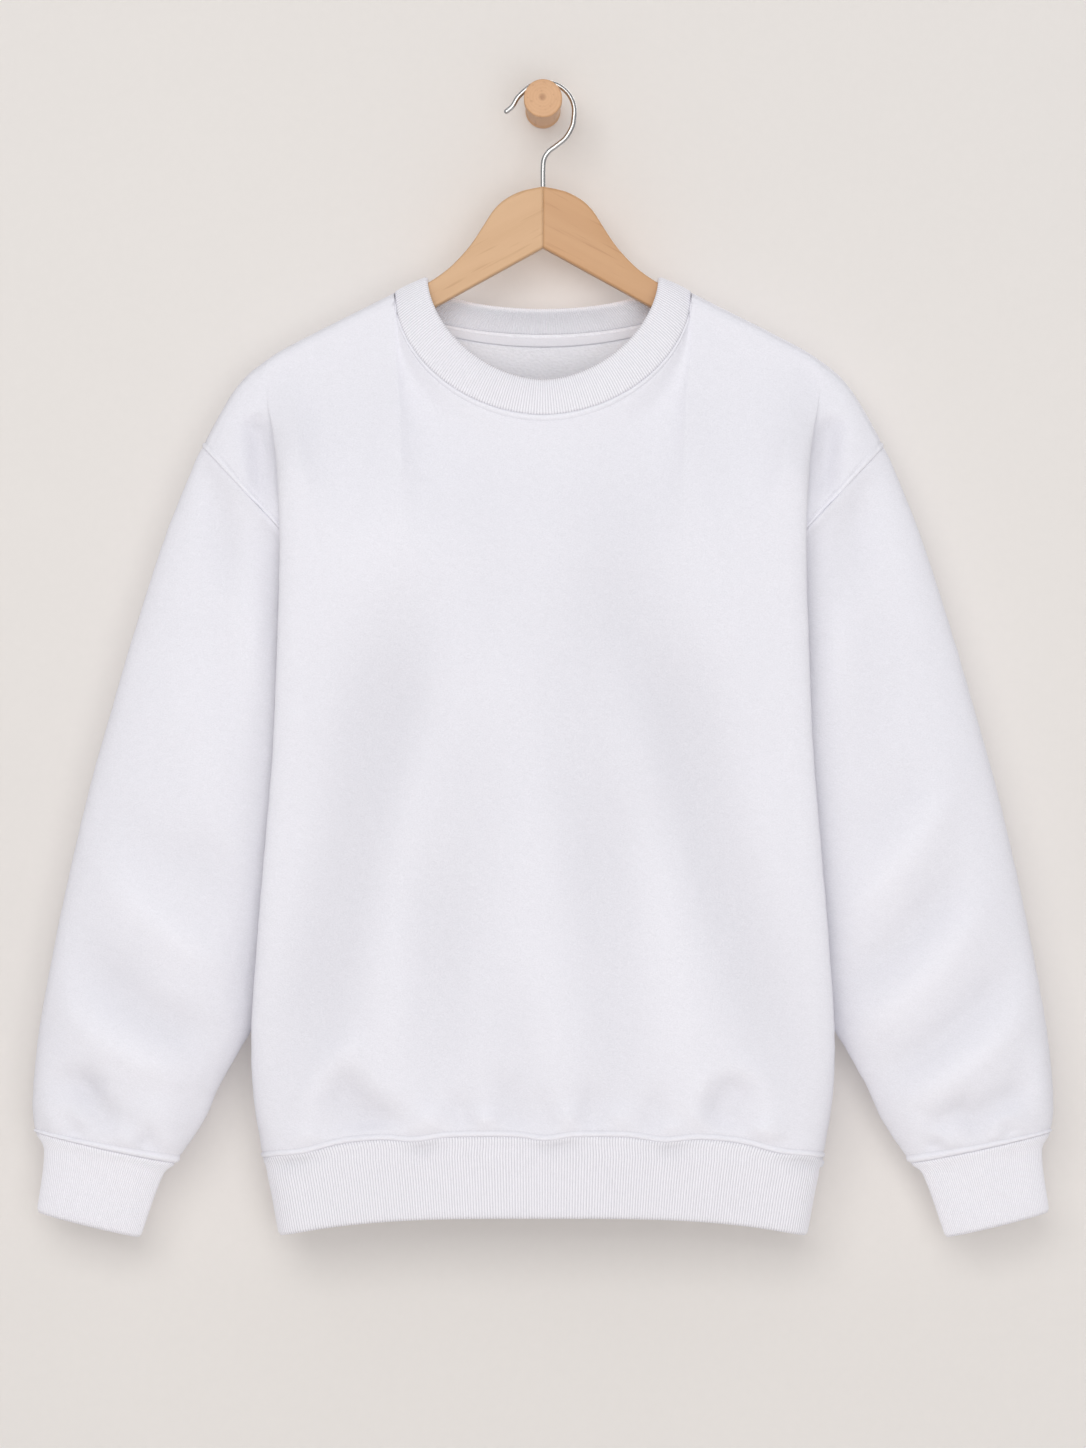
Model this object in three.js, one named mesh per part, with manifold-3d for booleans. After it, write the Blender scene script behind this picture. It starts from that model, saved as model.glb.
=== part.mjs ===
// A crewneck sweatshirt on a wooden hanger, hung from a round peg in a wall.
// Millimetres, +Z up. The origin is the centre of the peg's flat foot on the wall, and the wall
// is the plane y = 0. The front of the garment faces -Y, and the wearer's right side is at -X.
// The hanger and the garment are modelled in the hanger's own frame, whose middle plane is y = 0,
// and `hung` then places that frame in front of the wall.
import * as THREE from 'three';
import { mergeVertices } from 'three/addons/utils/BufferGeometryUtils.js';
import Module from 'manifold-3d';

// Places and thicknesses
const hangerPlace = { y: -50, z: 2.9 };
const seamGap = 0.3;
const hemGap = 0.5;
const collarGap = { middle: 0.5, shoulder: 3 };
const underarmGap = 0.9;
const fleeceThickness = 2.2;
const ribThickness = 2.4;
const tapeThickness = 1;
const tapeEnd = 0.75;
const tapeRows = 3;
const seamRidge = 0.9;

// Peg: a turned beech peg with a wider head
const peg = {
  footRadius: 13.5, footLength: 4, taperLength: 3, neckRadius: 12.5,
  headRadius: 14.5, headLength: 15.5, edge: 1.2,
};
const wallToHead = 54.5;

// Hook: round steel wire, and the points of its middle line in the hanger's plane
const wireRadius = 1.85;
const wireSides = 8;
const wireSteps = 42;
const socketDepth = 16;
const hookBend = { x: 1.5, z: -10.6, radius: 22.4 };
const hookTip = [
  { x: -29.2, z: -11.4 }, { x: -26.2, z: -9.0 }, { x: -23.0, z: -6.0 }, { x: -19.6, z: -0.3 },
];
const hookNeck = [
  { x: 22.2, z: -21.6 }, { x: 17.3, z: -30.2 }, { x: 10.6, z: -35.9 }, { x: 4.4, z: -40.7 },
  { x: 0.8, z: -46.5 }, { x: 0, z: -54 }, { x: 0, z: -67.6 },
];

// Hanger: a flat beech board in two mitred arms, half of its outline from the middle to the tip
const board = { thickness: 12, edge: 2 };
const boardTop = [
  { x: 0, z: -67.6 }, { x: 16.3, z: -71.2 }, { x: 28.9, z: -77.5 }, { x: 37.5, z: -85.6 },
  { x: 45.6, z: -98 }, { x: 53.9, z: -110.6 }, { x: 62.2, z: -120.6 }, { x: 73, z: -131 },
  { x: 88, z: -141.2 }, { x: 113, z: -154.3 }, { x: 150, z: -171.6 }, { x: 180, z: -187.2 },
  { x: 200, z: -198.6 }, { x: 212, z: -207.2 }, { x: 219.5, z: -214.2 }, { x: 223, z: -220.5 },
];
const boardUnder = [
  { x: 220.5, z: -227.5 }, { x: 213, z: -230 }, { x: 200, z: -225 }, { x: 140, z: -191.5 },
  { x: 82, z: -159.6 }, { x: 0, z: -114.4 },
];

// Neck: half-widths and drops of the seam and of the collar's free edge, and how far they stand
// off the hanger's plane. `cut` shapes the curve from the front, `plan` from above.
const neck = {
  front: {
    seam: { half: 112.9, top: -148.2, drop: 89.5, cut: 1.8, out: 30, plan: 0.5 },
    free: { half: 87.8, top: -136.4, drop: 76.9, cut: 1.7, out: 26, plan: 0.4 },
  },
  back: {
    seam: { half: 112.9, top: -148.2, drop: 28.6, cut: 2, out: 32, plan: 0.5 },
    free: { half: 87.8, top: -136.4, drop: 21.4, cut: 2, out: 17, plan: 0.4 },
  },
};

// Shoulder line, from the neck point over the hanger's tip to the shoulder point
const shoulderLine = [
  { x: 112.9, z: -148.2 }, { x: 138.7, z: -161.1 }, { x: 169.1, z: -176.3 }, { x: 198, z: -191.5 },
  { x: 212, z: -200.6 }, { x: 224, z: -210.2 }, { x: 234.5, z: -222.4 }, { x: 244.5, z: -238.5 },
  { x: 252.5, z: -253.3 }, { x: 258.8, z: -265.2 },
];
const shoulderPoint = shoulderLine[shoulderLine.length - 1];
const underarmPoint = { x: 120.5, z: -411.9 };

// Armhole: a flat ring through the underarm and the shoulder point
const armhole = { half: 100.8, out: 22, innerRound: 1.6, outerRound: 2.3 };

// Body panels by height, from the hem seam (v = 0) to the top edge (v = 1). `centre` and `side`
// are how far the cloth stands off the hanger's plane, `foldX` is the edge of the hanging fold,
// `run` and `turn` are the width and depth of its round, `edgeX` is the side seam in the tuck
// behind it, and `dip` and `lip` shape the way from the fold to that seam.
const underarmHeight = 0.65;
const ridgeStart = 0.7;
const frontRows = [
  { v: 0, centre: 34, side: 27, foldX: 212.5, run: 26, turn: 21, edgeX: 213, dip: 2, lip: 2 },
  { v: 0.08, centre: 38, side: 33, foldX: 219.2, run: 24, turn: 15, edgeX: 217, dip: 5, lip: 5 },
  { v: 0.16, centre: 40, side: 36, foldX: 220, run: 22, turn: 11, edgeX: 209, dip: 7, lip: 9 },
  { v: 0.25, centre: 42, side: 38, foldX: 216.5, run: 20, turn: 9, edgeX: 187, dip: 8, lip: 12 },
  { v: 0.38, centre: 44, side: 40, foldX: 210, run: 18, turn: 8, edgeX: 162.5, dip: 8, lip: 14 },
  { v: 0.51, centre: 45, side: 41, foldX: 203.5, run: 18, turn: 8, edgeX: 136, dip: 7, lip: 18 },
  { v: 0.65, centre: 45, side: 42, foldX: 200, run: 18, turn: 8, edgeX: 120.5, dip: 7, lip: 22 },
  { v: 0.78, centre: 43, side: 42, foldX: 198.3, run: 18, turn: 8, edgeX: 120.5, dip: 8, lip: 9 },
  { v: 0.87, centre: 41, side: 42, foldX: 201.2, run: 18, turn: 8, edgeX: 120.5, dip: 20, lip: 2 },
  { v: 0.91, centre: 40.5, side: 41, foldX: 204.5, run: 18, turn: 5, edgeX: 120.5, dip: 12, lip: 1 },
  { v: 0.95, centre: 40, side: 40, foldX: 208.5, run: 18, turn: 1.5, edgeX: 120.5, dip: 0, lip: 0 },
  { v: 1, centre: 40, side: 38, foldX: 210, run: 18, turn: 0, edgeX: 120.5, dip: 0, lip: 0 },
];
const backRows = [
  { v: 0, centre: 38, side: 30, foldX: 211, run: 28, turn: 24, edgeX: 213, dip: 2, lip: 2 },
  { v: 0.08, centre: 40, side: 35, foldX: 215, run: 26, turn: 19, edgeX: 217, dip: 5, lip: 5 },
  { v: 0.16, centre: 42, side: 38, foldX: 215, run: 24, turn: 13, edgeX: 209, dip: 7, lip: 9 },
  { v: 0.25, centre: 43, side: 39, foldX: 211, run: 22, turn: 10, edgeX: 187, dip: 8, lip: 12 },
  { v: 0.38, centre: 44, side: 40, foldX: 205, run: 20, turn: 8, edgeX: 162.5, dip: 8, lip: 14 },
  { v: 0.51, centre: 44, side: 40, foldX: 198, run: 20, turn: 8, edgeX: 136, dip: 7, lip: 18 },
  { v: 0.65, centre: 43, side: 40, foldX: 196, run: 20, turn: 8, edgeX: 120.5, dip: 7, lip: 22 },
  { v: 0.78, centre: 42, side: 40, foldX: 196, run: 20, turn: 8, edgeX: 120.5, dip: 7, lip: 9 },
  { v: 0.87, centre: 40, side: 38, foldX: 199, run: 20, turn: 7, edgeX: 120.5, dip: 12, lip: 2 },
  { v: 0.91, centre: 39, side: 37, foldX: 203, run: 20, turn: 4, edgeX: 120.5, dip: 7, lip: 1 },
  { v: 0.95, centre: 38, side: 36, foldX: 207.5, run: 20, turn: 1.5, edgeX: 120.5, dip: 0, lip: 0 },
  { v: 1, centre: 38, side: 36, foldX: 210, run: 20, turn: 0, edgeX: 120.5, dip: 0, lip: 0 },
];

// Columns of a panel: neck, shoulder, the hanging fold's round, and the tuck, as shares of u
const share = { neck: 0.42, flat: 0.66, fold: 0.76 };
const neckTurns = [0.25, 0.5, 0.75, 0.9, 0.965, 1];
const columns = { shoulder: 3, fold: 3 };
const tuckColumns = [0.12, 0.3, 0.52, 0.76, 0.93, 1];
const panelRows = [
  { up: 0 }, { up: 1.2 }, { up: 4.2 }, { up: 8 },
  { v: 0.06 }, { v: 0.12 }, { v: 0.2 }, { v: 0.3 }, { v: 0.42 }, { v: 0.54 },
  { v: 0.65 }, { v: 0.675 }, { v: 0.72 }, { v: 0.79 }, { v: 0.86 }, { v: 0.91 }, { v: 0.95 },
  { down: 10 }, { down: 6.2 }, { down: 2.9 }, { down: 0 },
];
const shoulderRoll = 10;
// How far down a column takes to leave the seam and reach its full stand-off
const neckFall = 110;
const shoulderFall = [
  { at: 0, down: 115 }, { at: 0.45, down: 125 }, { at: 0.75, down: 115 }, { at: 1, down: 85 },
];

// Hem seam: an even curve with a dip at each gather
const hemSeam = { middle: -786.3, cornerDrop: 18, half: 213, curve: 3.6 };
const hemGathers = [
  { x: -180, dip: 3.4, width: 20 }, { x: -97, dip: 3.2, width: 17 }, { x: 2, dip: 3.2, width: 15 },
  { x: 91, dip: 3.6, width: 18 }, { x: 178, dip: 3.6, width: 22 },
];

// Largest folds, as troughs (depth below 0) or ridges between two points seen from the front
const frontFolds = [
  { x0: -107, z0: -402, x1: -139, z1: -556, depth: -5, width: 26 },
  { x0: -139, z0: -556, x1: -187, z1: -750, depth: -7, width: 24 },
  { x0: 87, z0: -408, x1: 144, z1: -613, depth: -5, width: 26 },
  { x0: 144, z0: -613, x1: 190, z1: -767, depth: -7, width: 24 },
  { x0: -95, z0: -641, x1: -84, z1: -727, depth: -3, width: 22 },
  { x0: 42, z0: -500, x1: 50, z1: -755, depth: -3, width: 24 },
  { x0: -146, z0: -742, x1: -136, z1: -748, depth: -5, width: 18 },
  { x0: 116, z0: -765, x1: 124, z1: -770, depth: -4, width: 14 },
];
const backFolds = [
  { x0: -92, z0: -410, x1: -142, z1: -615, depth: -5, width: 26 },
  { x0: -142, z0: -615, x1: -186, z1: -760, depth: -6, width: 24 },
  { x0: 104, z0: -400, x1: 140, z1: -580, depth: -5, width: 26 },
  { x0: 140, z0: -580, x1: 184, z1: -748, depth: -6, width: 24 },
  { x0: -18, z0: -470, x1: -30, z1: -740, depth: -3, width: 26 },
  { x0: 62, z0: -610, x1: 70, z1: -760, depth: -3, width: 22 },
];

// Hem band, from the seam down: half-width as a share of the seam's, and depth likewise
const hemBand = { middle: -848.6, cornerDrop: 14, half: 197, curve: 3.2, ribs: 150, rib: 0.5 };
const hemRows = [
  { down: 0, width: 1, depth: 1 }, { down: 0.18, width: 0.972, depth: 0.9 },
  { down: 1, width: 0.928, depth: 0.8 },
];
const collarRibs = { count: 112, height: 0.45, rows: [0, 0.5, 1], bulge: 1.6 };
const insideColumns = { hem: 100, collar: 84, cuff: 24 };

// Sleeve sections: outer and inner edge seen from the front, and half the thickness
const sleeveRows = [
  { outerX: 258.8, outerZ: -265.2, innerX: 120.5, innerZ: -411.9, out: 22 },
  { outerX: 267.5, outerZ: -284, innerX: 129.5, innerZ: -418.2, out: 18.5 },
  { outerX: 288, outerZ: -336, innerX: 136, innerZ: -449, out: 20 },
  { outerX: 311.2, outerZ: -408.1, innerX: 149, innerZ: -497, out: 22.5 },
  { outerX: 327.9, outerZ: -465.1, innerX: 162.5, innerZ: -538.1, out: 24.5 },
  { outerX: 343.9, outerZ: -522.1, innerX: 177, innerZ: -580.6, out: 26 },
  { outerX: 357.6, outerZ: -579.1, innerX: 189.6, innerZ: -620.9, out: 26 },
  { outerX: 369.7, outerZ: -636.1, innerX: 202.5, innerZ: -661.2, out: 26 },
  { outerX: 380.4, outerZ: -693.1, innerX: 218.7, innerZ: -702.7, out: 27 },
  { outerX: 384.4, outerZ: -721, innerX: 232, innerZ: -726, out: 27 },
  { outerX: 387.2, outerZ: -750.1, innerX: 246.6, innerZ: -752.4, out: 26 },
  { outerX: 387.6, outerZ: -769.1, innerX: 258, innerZ: -777.5, out: 24 },
  { outerX: 385.7, outerZ: -785.5, innerX: 279.3, innerZ: -809.4, out: 18 },
];
const sleeveSides = 32;
const cuffRows = [
  { outerX: 385.2, outerZ: -785.9, innerX: 279.8, innerZ: -809.8, out: 17.6 },
  { outerX: 378.5, outerZ: -799, innerX: 289, innerZ: -817.5, out: 14.5 },
  { outerX: 384, outerZ: -846.5, innerX: 306.7, innerZ: -866, out: 12.5 },
];
const cuffRibs = { count: 56, height: 0.4 };

// Folds of the two sleeves, which differ
const rightSleeveFolds = [
  { x0: -252, z0: -277, x1: -246, z1: -340, depth: -3, width: 12 },
  { x0: -323, z0: -602, x1: -250, z1: -659, depth: 3.5, width: 13 },
  { x0: -341, z0: -659, x1: -261, z1: -710, depth: -4.5, width: 11 },
  { x0: -369, z0: -687, x1: -272, z1: -733, depth: 4, width: 12 },
  { x0: -369, z0: -753, x1: -312, z1: -776, depth: -5, width: 11 },
];
const leftSleeveFolds = [
  { x0: 258, z0: -283, x1: 235, z1: -374, depth: -3, width: 13 },
  { x0: 298, z0: -534, x1: 235, z1: -613, depth: 3.5, width: 14 },
  { x0: 309, z0: -591, x1: 235, z1: -664, depth: -4, width: 12 },
  { x0: 326, z0: -619, x1: 241, z1: -698, depth: 3.5, width: 12 },
  { x0: 332, z0: -670, x1: 263, z1: -727, depth: -4.5, width: 11 },
  { x0: 361, z0: -687, x1: 281, z1: -750, depth: 4, width: 12 },
  { x0: 355, z0: -747, x1: 309, z1: -778, depth: -5, width: 11 },
];

// Finishes
const finish = {
  fleece: { color: 0xe7e6ec, roughness: 0.95, metalness: 0 },
  rib: { color: 0xe9e8ee, roughness: 0.95, metalness: 0 },
  beech: { color: 0xdeb48a, roughness: 0.5, metalness: 0 },
  steel: { color: 0xc9c8c6, roughness: 0.3, metalness: 1 },
};

// Small helpers

function clamp(value, low, high) {
  return Math.min(high, Math.max(low, value));
}

function mix(a, b, t) {
  return a + (b - a) * t;
}

function smooth(t) {
  const c = clamp(t, 0, 1);
  return c * c * (3 - 2 * c);
}

// Smooth value of one column of a table at a given place of its key column
function tableValue(rows, key, column, at) {
  let i = 0;
  while (i < rows.length - 2 && at > rows[i + 1][key]) {
    i += 1;
  }
  const slope = (a, b) => (rows[b][column] - rows[a][column]) / (rows[b][key] - rows[a][key]);
  const span = rows[i + 1][key] - rows[i][key];
  const t = clamp((at - rows[i][key]) / span, 0, 1);
  const m0 = i > 0 ? slope(i - 1, i + 1) : slope(i, i + 1);
  const m1 = i < rows.length - 2 ? slope(i, i + 2) : slope(i, i + 1);
  const t2 = t * t;
  const t3 = t2 * t;
  return (2 * t3 - 3 * t2 + 1) * rows[i][column] + (t3 - 2 * t2 + t) * span * m0
    + (3 * t2 - 2 * t3) * rows[i + 1][column] + (t3 - t2) * span * m1;
}

// Height of a seam that droops at its ends
function droop(seam, x) {
  return seam.middle - seam.cornerDrop * Math.abs(x / seam.half) ** seam.curve;
}

function hemSeamHeight(x) {
  let height = droop(hemSeam, x);
  for (const g of hemGathers) {
    height -= g.dip * Math.exp(-(((x - g.x) / g.width) ** 2));
  }
  return height;
}

// Height of all troughs and ridges at one place, each fading away from its line and at its ends
function foldHeight(folds, x, z) {
  let height = 0;
  for (const f of folds) {
    const dx = f.x1 - f.x0;
    const dz = f.z1 - f.z0;
    const t = clamp(((x - f.x0) * dx + (z - f.z0) * dz) / (dx * dx + dz * dz), 0, 1);
    const away = Math.hypot(x - f.x0 - t * dx, z - f.z0 - t * dz);
    height += f.depth * Math.exp(-((away / f.width) ** 2));
  }
  return height;
}

// Body panels

// A point of a neck line. `turn` runs from -1 at the left shoulder to 1 at the right one.
function neckPoint(line, turn) {
  const angle = turn * Math.PI / 2;
  const across = Math.abs(Math.sin(angle)) ** (2 / line.cut);
  const down = Math.max(0, Math.cos(angle));
  return {
    x: Math.sign(turn) * line.half * across,
    z: line.top - line.drop * down ** (2 / line.cut),
    w: line.out * down ** line.plan,
  };
}

// The armhole ring: `along` runs from 0 at the underarm to 1 at the shoulder point
function armholePoint(along, inset) {
  const c = 2 * along - 1;
  const round = c < 0 ? armhole.innerRound : armhole.outerRound;
  const scale = 1 - inset / armhole.half;
  const s = (1 + c * scale) / 2;
  return {
    x: mix(underarmPoint.x, shoulderPoint.x, s),
    z: mix(underarmPoint.z, shoulderPoint.z, s),
    w: (armhole.out - inset) * (1 - Math.abs(c) ** round) ** (1 / round),
  };
}

// The edge of a panel: the side seam in the tuck up to the underarm, then the armhole
function panelEdge(rows, v, inset) {
  if (v <= underarmHeight) {
    const foot = hemSeamHeight(hemSeam.half);
    const x = tableValue(rows, 'v', 'edgeX', v) - inset;
    return { x, z: mix(foot, underarmPoint.z, v / underarmHeight), w: 0 };
  }
  return armholePoint((v - underarmHeight) / (1 - underarmHeight), inset);
}

// Half-width of the flat front of a panel at a height
function flatHalf(rows, v) {
  return tableValue(rows, 'v', 'foldX', v) - tableValue(rows, 'v', 'run', v);
}

// Where a column of the flat front stands at the top edge
function columnTop(panel, a) {
  if (a <= share.neck) {
    return neckPoint(panel.neck.seam, a / share.neck);
  }
  const t = (a - share.neck) / (share.flat - share.neck);
  const x = mix(panel.neck.seam.half, flatHalf(panel.rows, 1), t);
  return { x, z: tableValue(shoulderLine, 'x', 'z', x), w: 0 };
}

// A point of the flat front or of the fold's round, for a = |u| up to share.fold
function bodyPoint(panel, a, side, row) {
  const rows = panel.rows;
  const round = Math.max(0, a - share.flat) / (share.fold - share.flat) * Math.PI / 2;
  const level = Math.min(a, share.flat);
  const top = columnTop(panel, level);
  const runTop = tableValue(rows, 'v', 'run', 1) * Math.sin(round);
  const topZ = round > 0 ? tableValue(shoulderLine, 'x', 'z', top.x + runTop) : top.z;
  const runFoot = tableValue(rows, 'v', 'run', 0) * Math.sin(round);
  const footX = flatHalf(rows, 0) * level / share.flat + runFoot;
  const footZ = hemSeamHeight(side * footX);
  const tall = topZ - footZ;
  const height = row.up ?? (row.down === undefined ? row.v * tall : tall - row.down);
  const v = height / tall;
  const down = tall - height;
  const half = flatHalf(rows, v);
  const spread = mix(level / share.flat, top.x / flatHalf(rows, 1), v * v);
  const x = half * spread + tableValue(rows, 'v', 'run', v) * Math.sin(round);
  const centre = tableValue(rows, 'v', 'centre', v);
  const edge = tableValue(rows, 'v', 'side', v);
  const turn = tableValue(rows, 'v', 'turn', v);
  const flat = mix(centre, edge, spread * spread) - turn * (1 - Math.cos(round));
  const z = footZ + height;
  const atNeck = Math.sin(clamp(a / share.neck, 0, 1) * Math.PI / 2);
  const roll = Math.max(0, shoulderRoll - top.w);
  const curl = Math.sqrt(1 - (1 - clamp(down / shoulderRoll, 0, 1)) ** 2);
  const onShoulder = clamp((a - share.neck) / (share.flat - share.neck), 0, 1);
  const reach = mix(neckFall, tableValue(shoulderFall, 'at', 'down', onShoulder), atNeck ** 6);
  // beside the neck the cloth leaves at the height where the roll ends below the neck point
  const drop = a < share.neck ? panel.neck.seam.top - top.z : 0;
  const start = (drop ** 3 + shoulderRoll ** 3) ** (1 / 3) - drop;
  const leave = smooth((down - start) / reach);
  const creases = foldHeight(panel.folds, side * x, z) * smooth(down / 60) * smooth(height / 40);
  return { x, z, v, w: top.w + roll * curl + (flat - top.w - roll) * leave + creases };
}

// How far the shoulder line rises over a straight line from the fold to the shoulder point
function shoulderRise(panel, t) {
  const foldX = tableValue(panel.rows, 'v', 'foldX', 1);
  const foldZ = tableValue(shoulderLine, 'x', 'z', foldX);
  const s = 1 - t;
  const turnX = mix(shoulderPoint.x, foldX, 0.35);
  const x = s * s * (s + 3 * t) * foldX + 3 * s * t * t * turnX + t * t * t * shoulderPoint.x;
  return tableValue(shoulderLine, 'x', 'z', x) - mix(foldZ, shoulderPoint.z, t);
}

// A point of the tuck from the fold back to the side seam or out to the armhole, on a cubic curve
function tuckPoint(panel, t, side, row) {
  const rows = panel.rows;
  const fold = bodyPoint(panel, share.fold, side, row);
  const edge = panelEdge(rows, fold.v, 0);
  const above = smooth((fold.v - underarmHeight) / 0.07);
  const dip = tableValue(rows, 'v', 'dip', fold.v);
  const lip = tableValue(rows, 'v', 'lip', fold.v);
  const x2 = mix(edge.x, fold.x, 0.35 * above);
  const s = 1 - t;
  const c = [s * s * s, 3 * s * s * t, 3 * s * t * t, t * t * t];
  const x = c[0] * fold.x + c[1] * fold.x + c[2] * x2 + c[3] * edge.x;
  const w = c[0] * fold.w + c[1] * (fold.w - dip) + c[2] * (edge.w + lip) + c[3] * edge.w;
  const lift = clamp((fold.v - underarmHeight) / (1 - underarmHeight), 0, 1) ** 6;
  return { x, z: mix(fold.z, edge.z, t) + shoulderRise(panel, t) * lift, v: fold.v, w };
}

// Columns of u from one side seam to the other
function columnPlaces() {
  const half = neckTurns.map((turn) => share.neck * turn);
  for (let i = 1; i <= columns.shoulder; i += 1) {
    half.push(mix(share.neck, share.flat, i / columns.shoulder));
  }
  for (let i = 1; i <= columns.fold; i += 1) {
    half.push(mix(share.flat, share.fold, i / columns.fold));
  }
  tuckColumns.forEach((t) => half.push(mix(share.fold, 1, t)));
  return [...half.map((a) => -a).reverse(), 0, ...half];
}

// The outer face of a panel as a grid of points, rows from the hem seam up. `facing` is -1 for
// the front, which faces -Y, and 1 for the back.
function panelGrid(panel, places) {
  return panelRows.map((row) => places.map((u) => {
    const side = Math.sign(u) || 1;
    const a = Math.abs(u);
    const p = a <= share.fold + 1e-9
      ? bodyPoint(panel, a, side, row)
      : tuckPoint(panel, (a - share.fold) / (1 - share.fold), side, row);
    return new THREE.Vector3(side * p.x, panel.facing * (p.w + seamGap / 2), p.z);
  }));
}

// Unit normals of a grid from its neighbours; `closed` joins the last column to the first
function gridNormals(grid, closed, flip) {
  const rowCount = grid.length;
  return grid.map((line, j) => line.map((point, i) => {
    const n = line.length;
    const left = closed ? line[(i + n - 1) % n] : line[Math.max(i - 1, 0)];
    const right = closed ? line[(i + 1) % n] : line[Math.min(i + 1, n - 1)];
    const below = grid[Math.max(j - 1, 0)][i];
    const above = grid[Math.min(j + 1, rowCount - 1)][i];
    const across = right.clone().sub(left);
    const up = above.clone().sub(below);
    return across.cross(up).normalize().multiplyScalar(flip ? -1 : 1);
  }));
}

// Inner face of a panel: the outer face moved in by the cloth, with each seam edge kept in the
// plane of its seam
function panelInside(panel, outer, places) {
  const normals = gridNormals(outer, false, panel.facing > 0);
  const top = outer.length - 1;
  const last = places.length - 1;
  return outer.map((line, j) => line.map((point, i) => {
    const side = Math.sign(places[i]) || 1;
    const inside = point.clone().addScaledVector(normals[j][i], -fleeceThickness);
    const v = bodyPoint(panel, share.fold, side, panelRows[j]).v;
    if (i === 0 || i === last) {
      if (v > underarmHeight + 1e-6) {
        const e = panelEdge(panel.rows, v, fleeceThickness);
        return new THREE.Vector3(side * e.x, panel.facing * (e.w + seamGap / 2), e.z);
      }
      if (v > underarmHeight - 1e-6) {
        return point.clone().add(new THREE.Vector3(0, 0, fleeceThickness));
      }
      return point.clone().add(new THREE.Vector3(-side * fleeceThickness, 0, 0));
    }
    if (j === top && Math.abs(places[i]) >= share.neck - 1e-9) {
      const a = line[Math.max(i - 1, 0)];
      const b = line[Math.min(i + 1, last)];
      const along = new THREE.Vector3(b.x - a.x, 0, b.z - a.z).normalize();
      inside.set(point.x + along.z * fleeceThickness, point.y, point.z - along.x * fleeceThickness);
    }
    if (j === 0) {
      inside.z = point.z;
    }
    return inside;
  }));
}

// Raises the outer face beside the neck, armhole and hem seams, where the allowance lies under
function raiseSeams(panel, outer, places) {
  const normals = gridNormals(outer, false, panel.facing > 0);
  const top = outer.length - 1;
  const last = places.length - 1;
  return outer.map((line, j) => line.map((point, i) => {
    const a = Math.abs(places[i]);
    const atHem = j === 1 || j === 2;
    const atNeck = a < share.neck && j === top - 1;
    const onArmhole = panelRows[j].down !== undefined || (panelRows[j].v ?? 0) > ridgeStart;
    const atArmhole = (i === 1 || i === last - 1) && onArmhole && j < top;
    const raised = atHem || atNeck || atArmhole;
    return raised ? point.clone().addScaledVector(normals[j][i], seamRidge) : point;
  }));
}

// Mesh building

function meshFrom(points, faces) {
  const geometry = new THREE.BufferGeometry();
  const values = points.flatMap((p) => [p.x, p.y, p.z]);
  geometry.setAttribute('position', new THREE.Float32BufferAttribute(values, 3));
  geometry.setIndex(faces.flat());
  geometry.computeVertexNormals();
  return geometry;
}

// A wall between two grids of the same size, closed along its four edges
function sheetWall(outer, inner, flip) {
  const rows = outer.length;
  const cols = outer[0].length;
  const points = [...outer.flat(), ...inner.flat()];
  const o = (j, i) => j * cols + i;
  const n = (j, i) => rows * cols + j * cols + i;
  const faces = [];
  const quad = (a, b, c, d) => {
    faces.push(flip ? [a, c, b] : [a, b, c], flip ? [a, d, c] : [a, c, d]);
  };
  for (let j = 0; j < rows - 1; j += 1) {
    for (let i = 0; i < cols - 1; i += 1) {
      quad(o(j, i), o(j, i + 1), o(j + 1, i + 1), o(j + 1, i));
      quad(n(j, i), n(j + 1, i), n(j + 1, i + 1), n(j, i + 1));
    }
    quad(o(j, 0), o(j + 1, 0), n(j + 1, 0), n(j, 0));
    quad(o(j, cols - 1), n(j, cols - 1), n(j + 1, cols - 1), o(j + 1, cols - 1));
  }
  for (let i = 0; i < cols - 1; i += 1) {
    quad(o(0, i), n(0, i), n(0, i + 1), o(0, i + 1));
    quad(o(rows - 1, i), o(rows - 1, i + 1), n(rows - 1, i + 1), n(rows - 1, i));
  }
  return meshFrom(points, faces);
}

// A tube wall between two stacks of closed rings. The outer rings may have more points than the
// inner ones; both start at the same place and are evenly spaced along their own count.
function ringWall(outer, inner, flip) {
  const points = [...outer.flat(), ...inner.flat()];
  const many = outer[0].length;
  const few = inner[0].length;
  const base = outer.length * many;
  const o = (j, i) => j * many + (i % many);
  const n = (j, i) => base + j * few + (i % few);
  const faces = [];
  const tri = (a, b, c) => faces.push(flip ? [a, c, b] : [a, b, c]);
  for (let j = 0; j < outer.length - 1; j += 1) {
    for (let i = 0; i < many; i += 1) {
      tri(o(j, i), o(j, i + 1), o(j + 1, i + 1));
      tri(o(j, i), o(j + 1, i + 1), o(j + 1, i));
    }
  }
  for (let j = 0; j < inner.length - 1; j += 1) {
    for (let i = 0; i < few; i += 1) {
      tri(n(j, i), n(j + 1, i + 1), n(j, i + 1));
      tri(n(j, i), n(j + 1, i), n(j + 1, i + 1));
    }
  }
  const stitch = (jo, jn, top) => {
    let i = 0;
    let k = 0;
    while (i < many || k < few) {
      const forward = i < many && (k >= few || (i + 1) / many <= (k + 1) / few);
      const [a, b, c] = forward
        ? [o(jo, i), o(jo, i + 1), n(jn, k)]
        : [o(jo, i), n(jn, k + 1), n(jn, k)];
      if (top) {
        tri(a, b, c);
      } else {
        tri(a, c, b);
      }
      i += forward ? 1 : 0;
      k += forward ? 0 : 1;
    }
  };
  stitch(0, 0, false);
  stitch(outer.length - 1, inner.length - 1, true);
  return meshFrom(points, faces);
}

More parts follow.
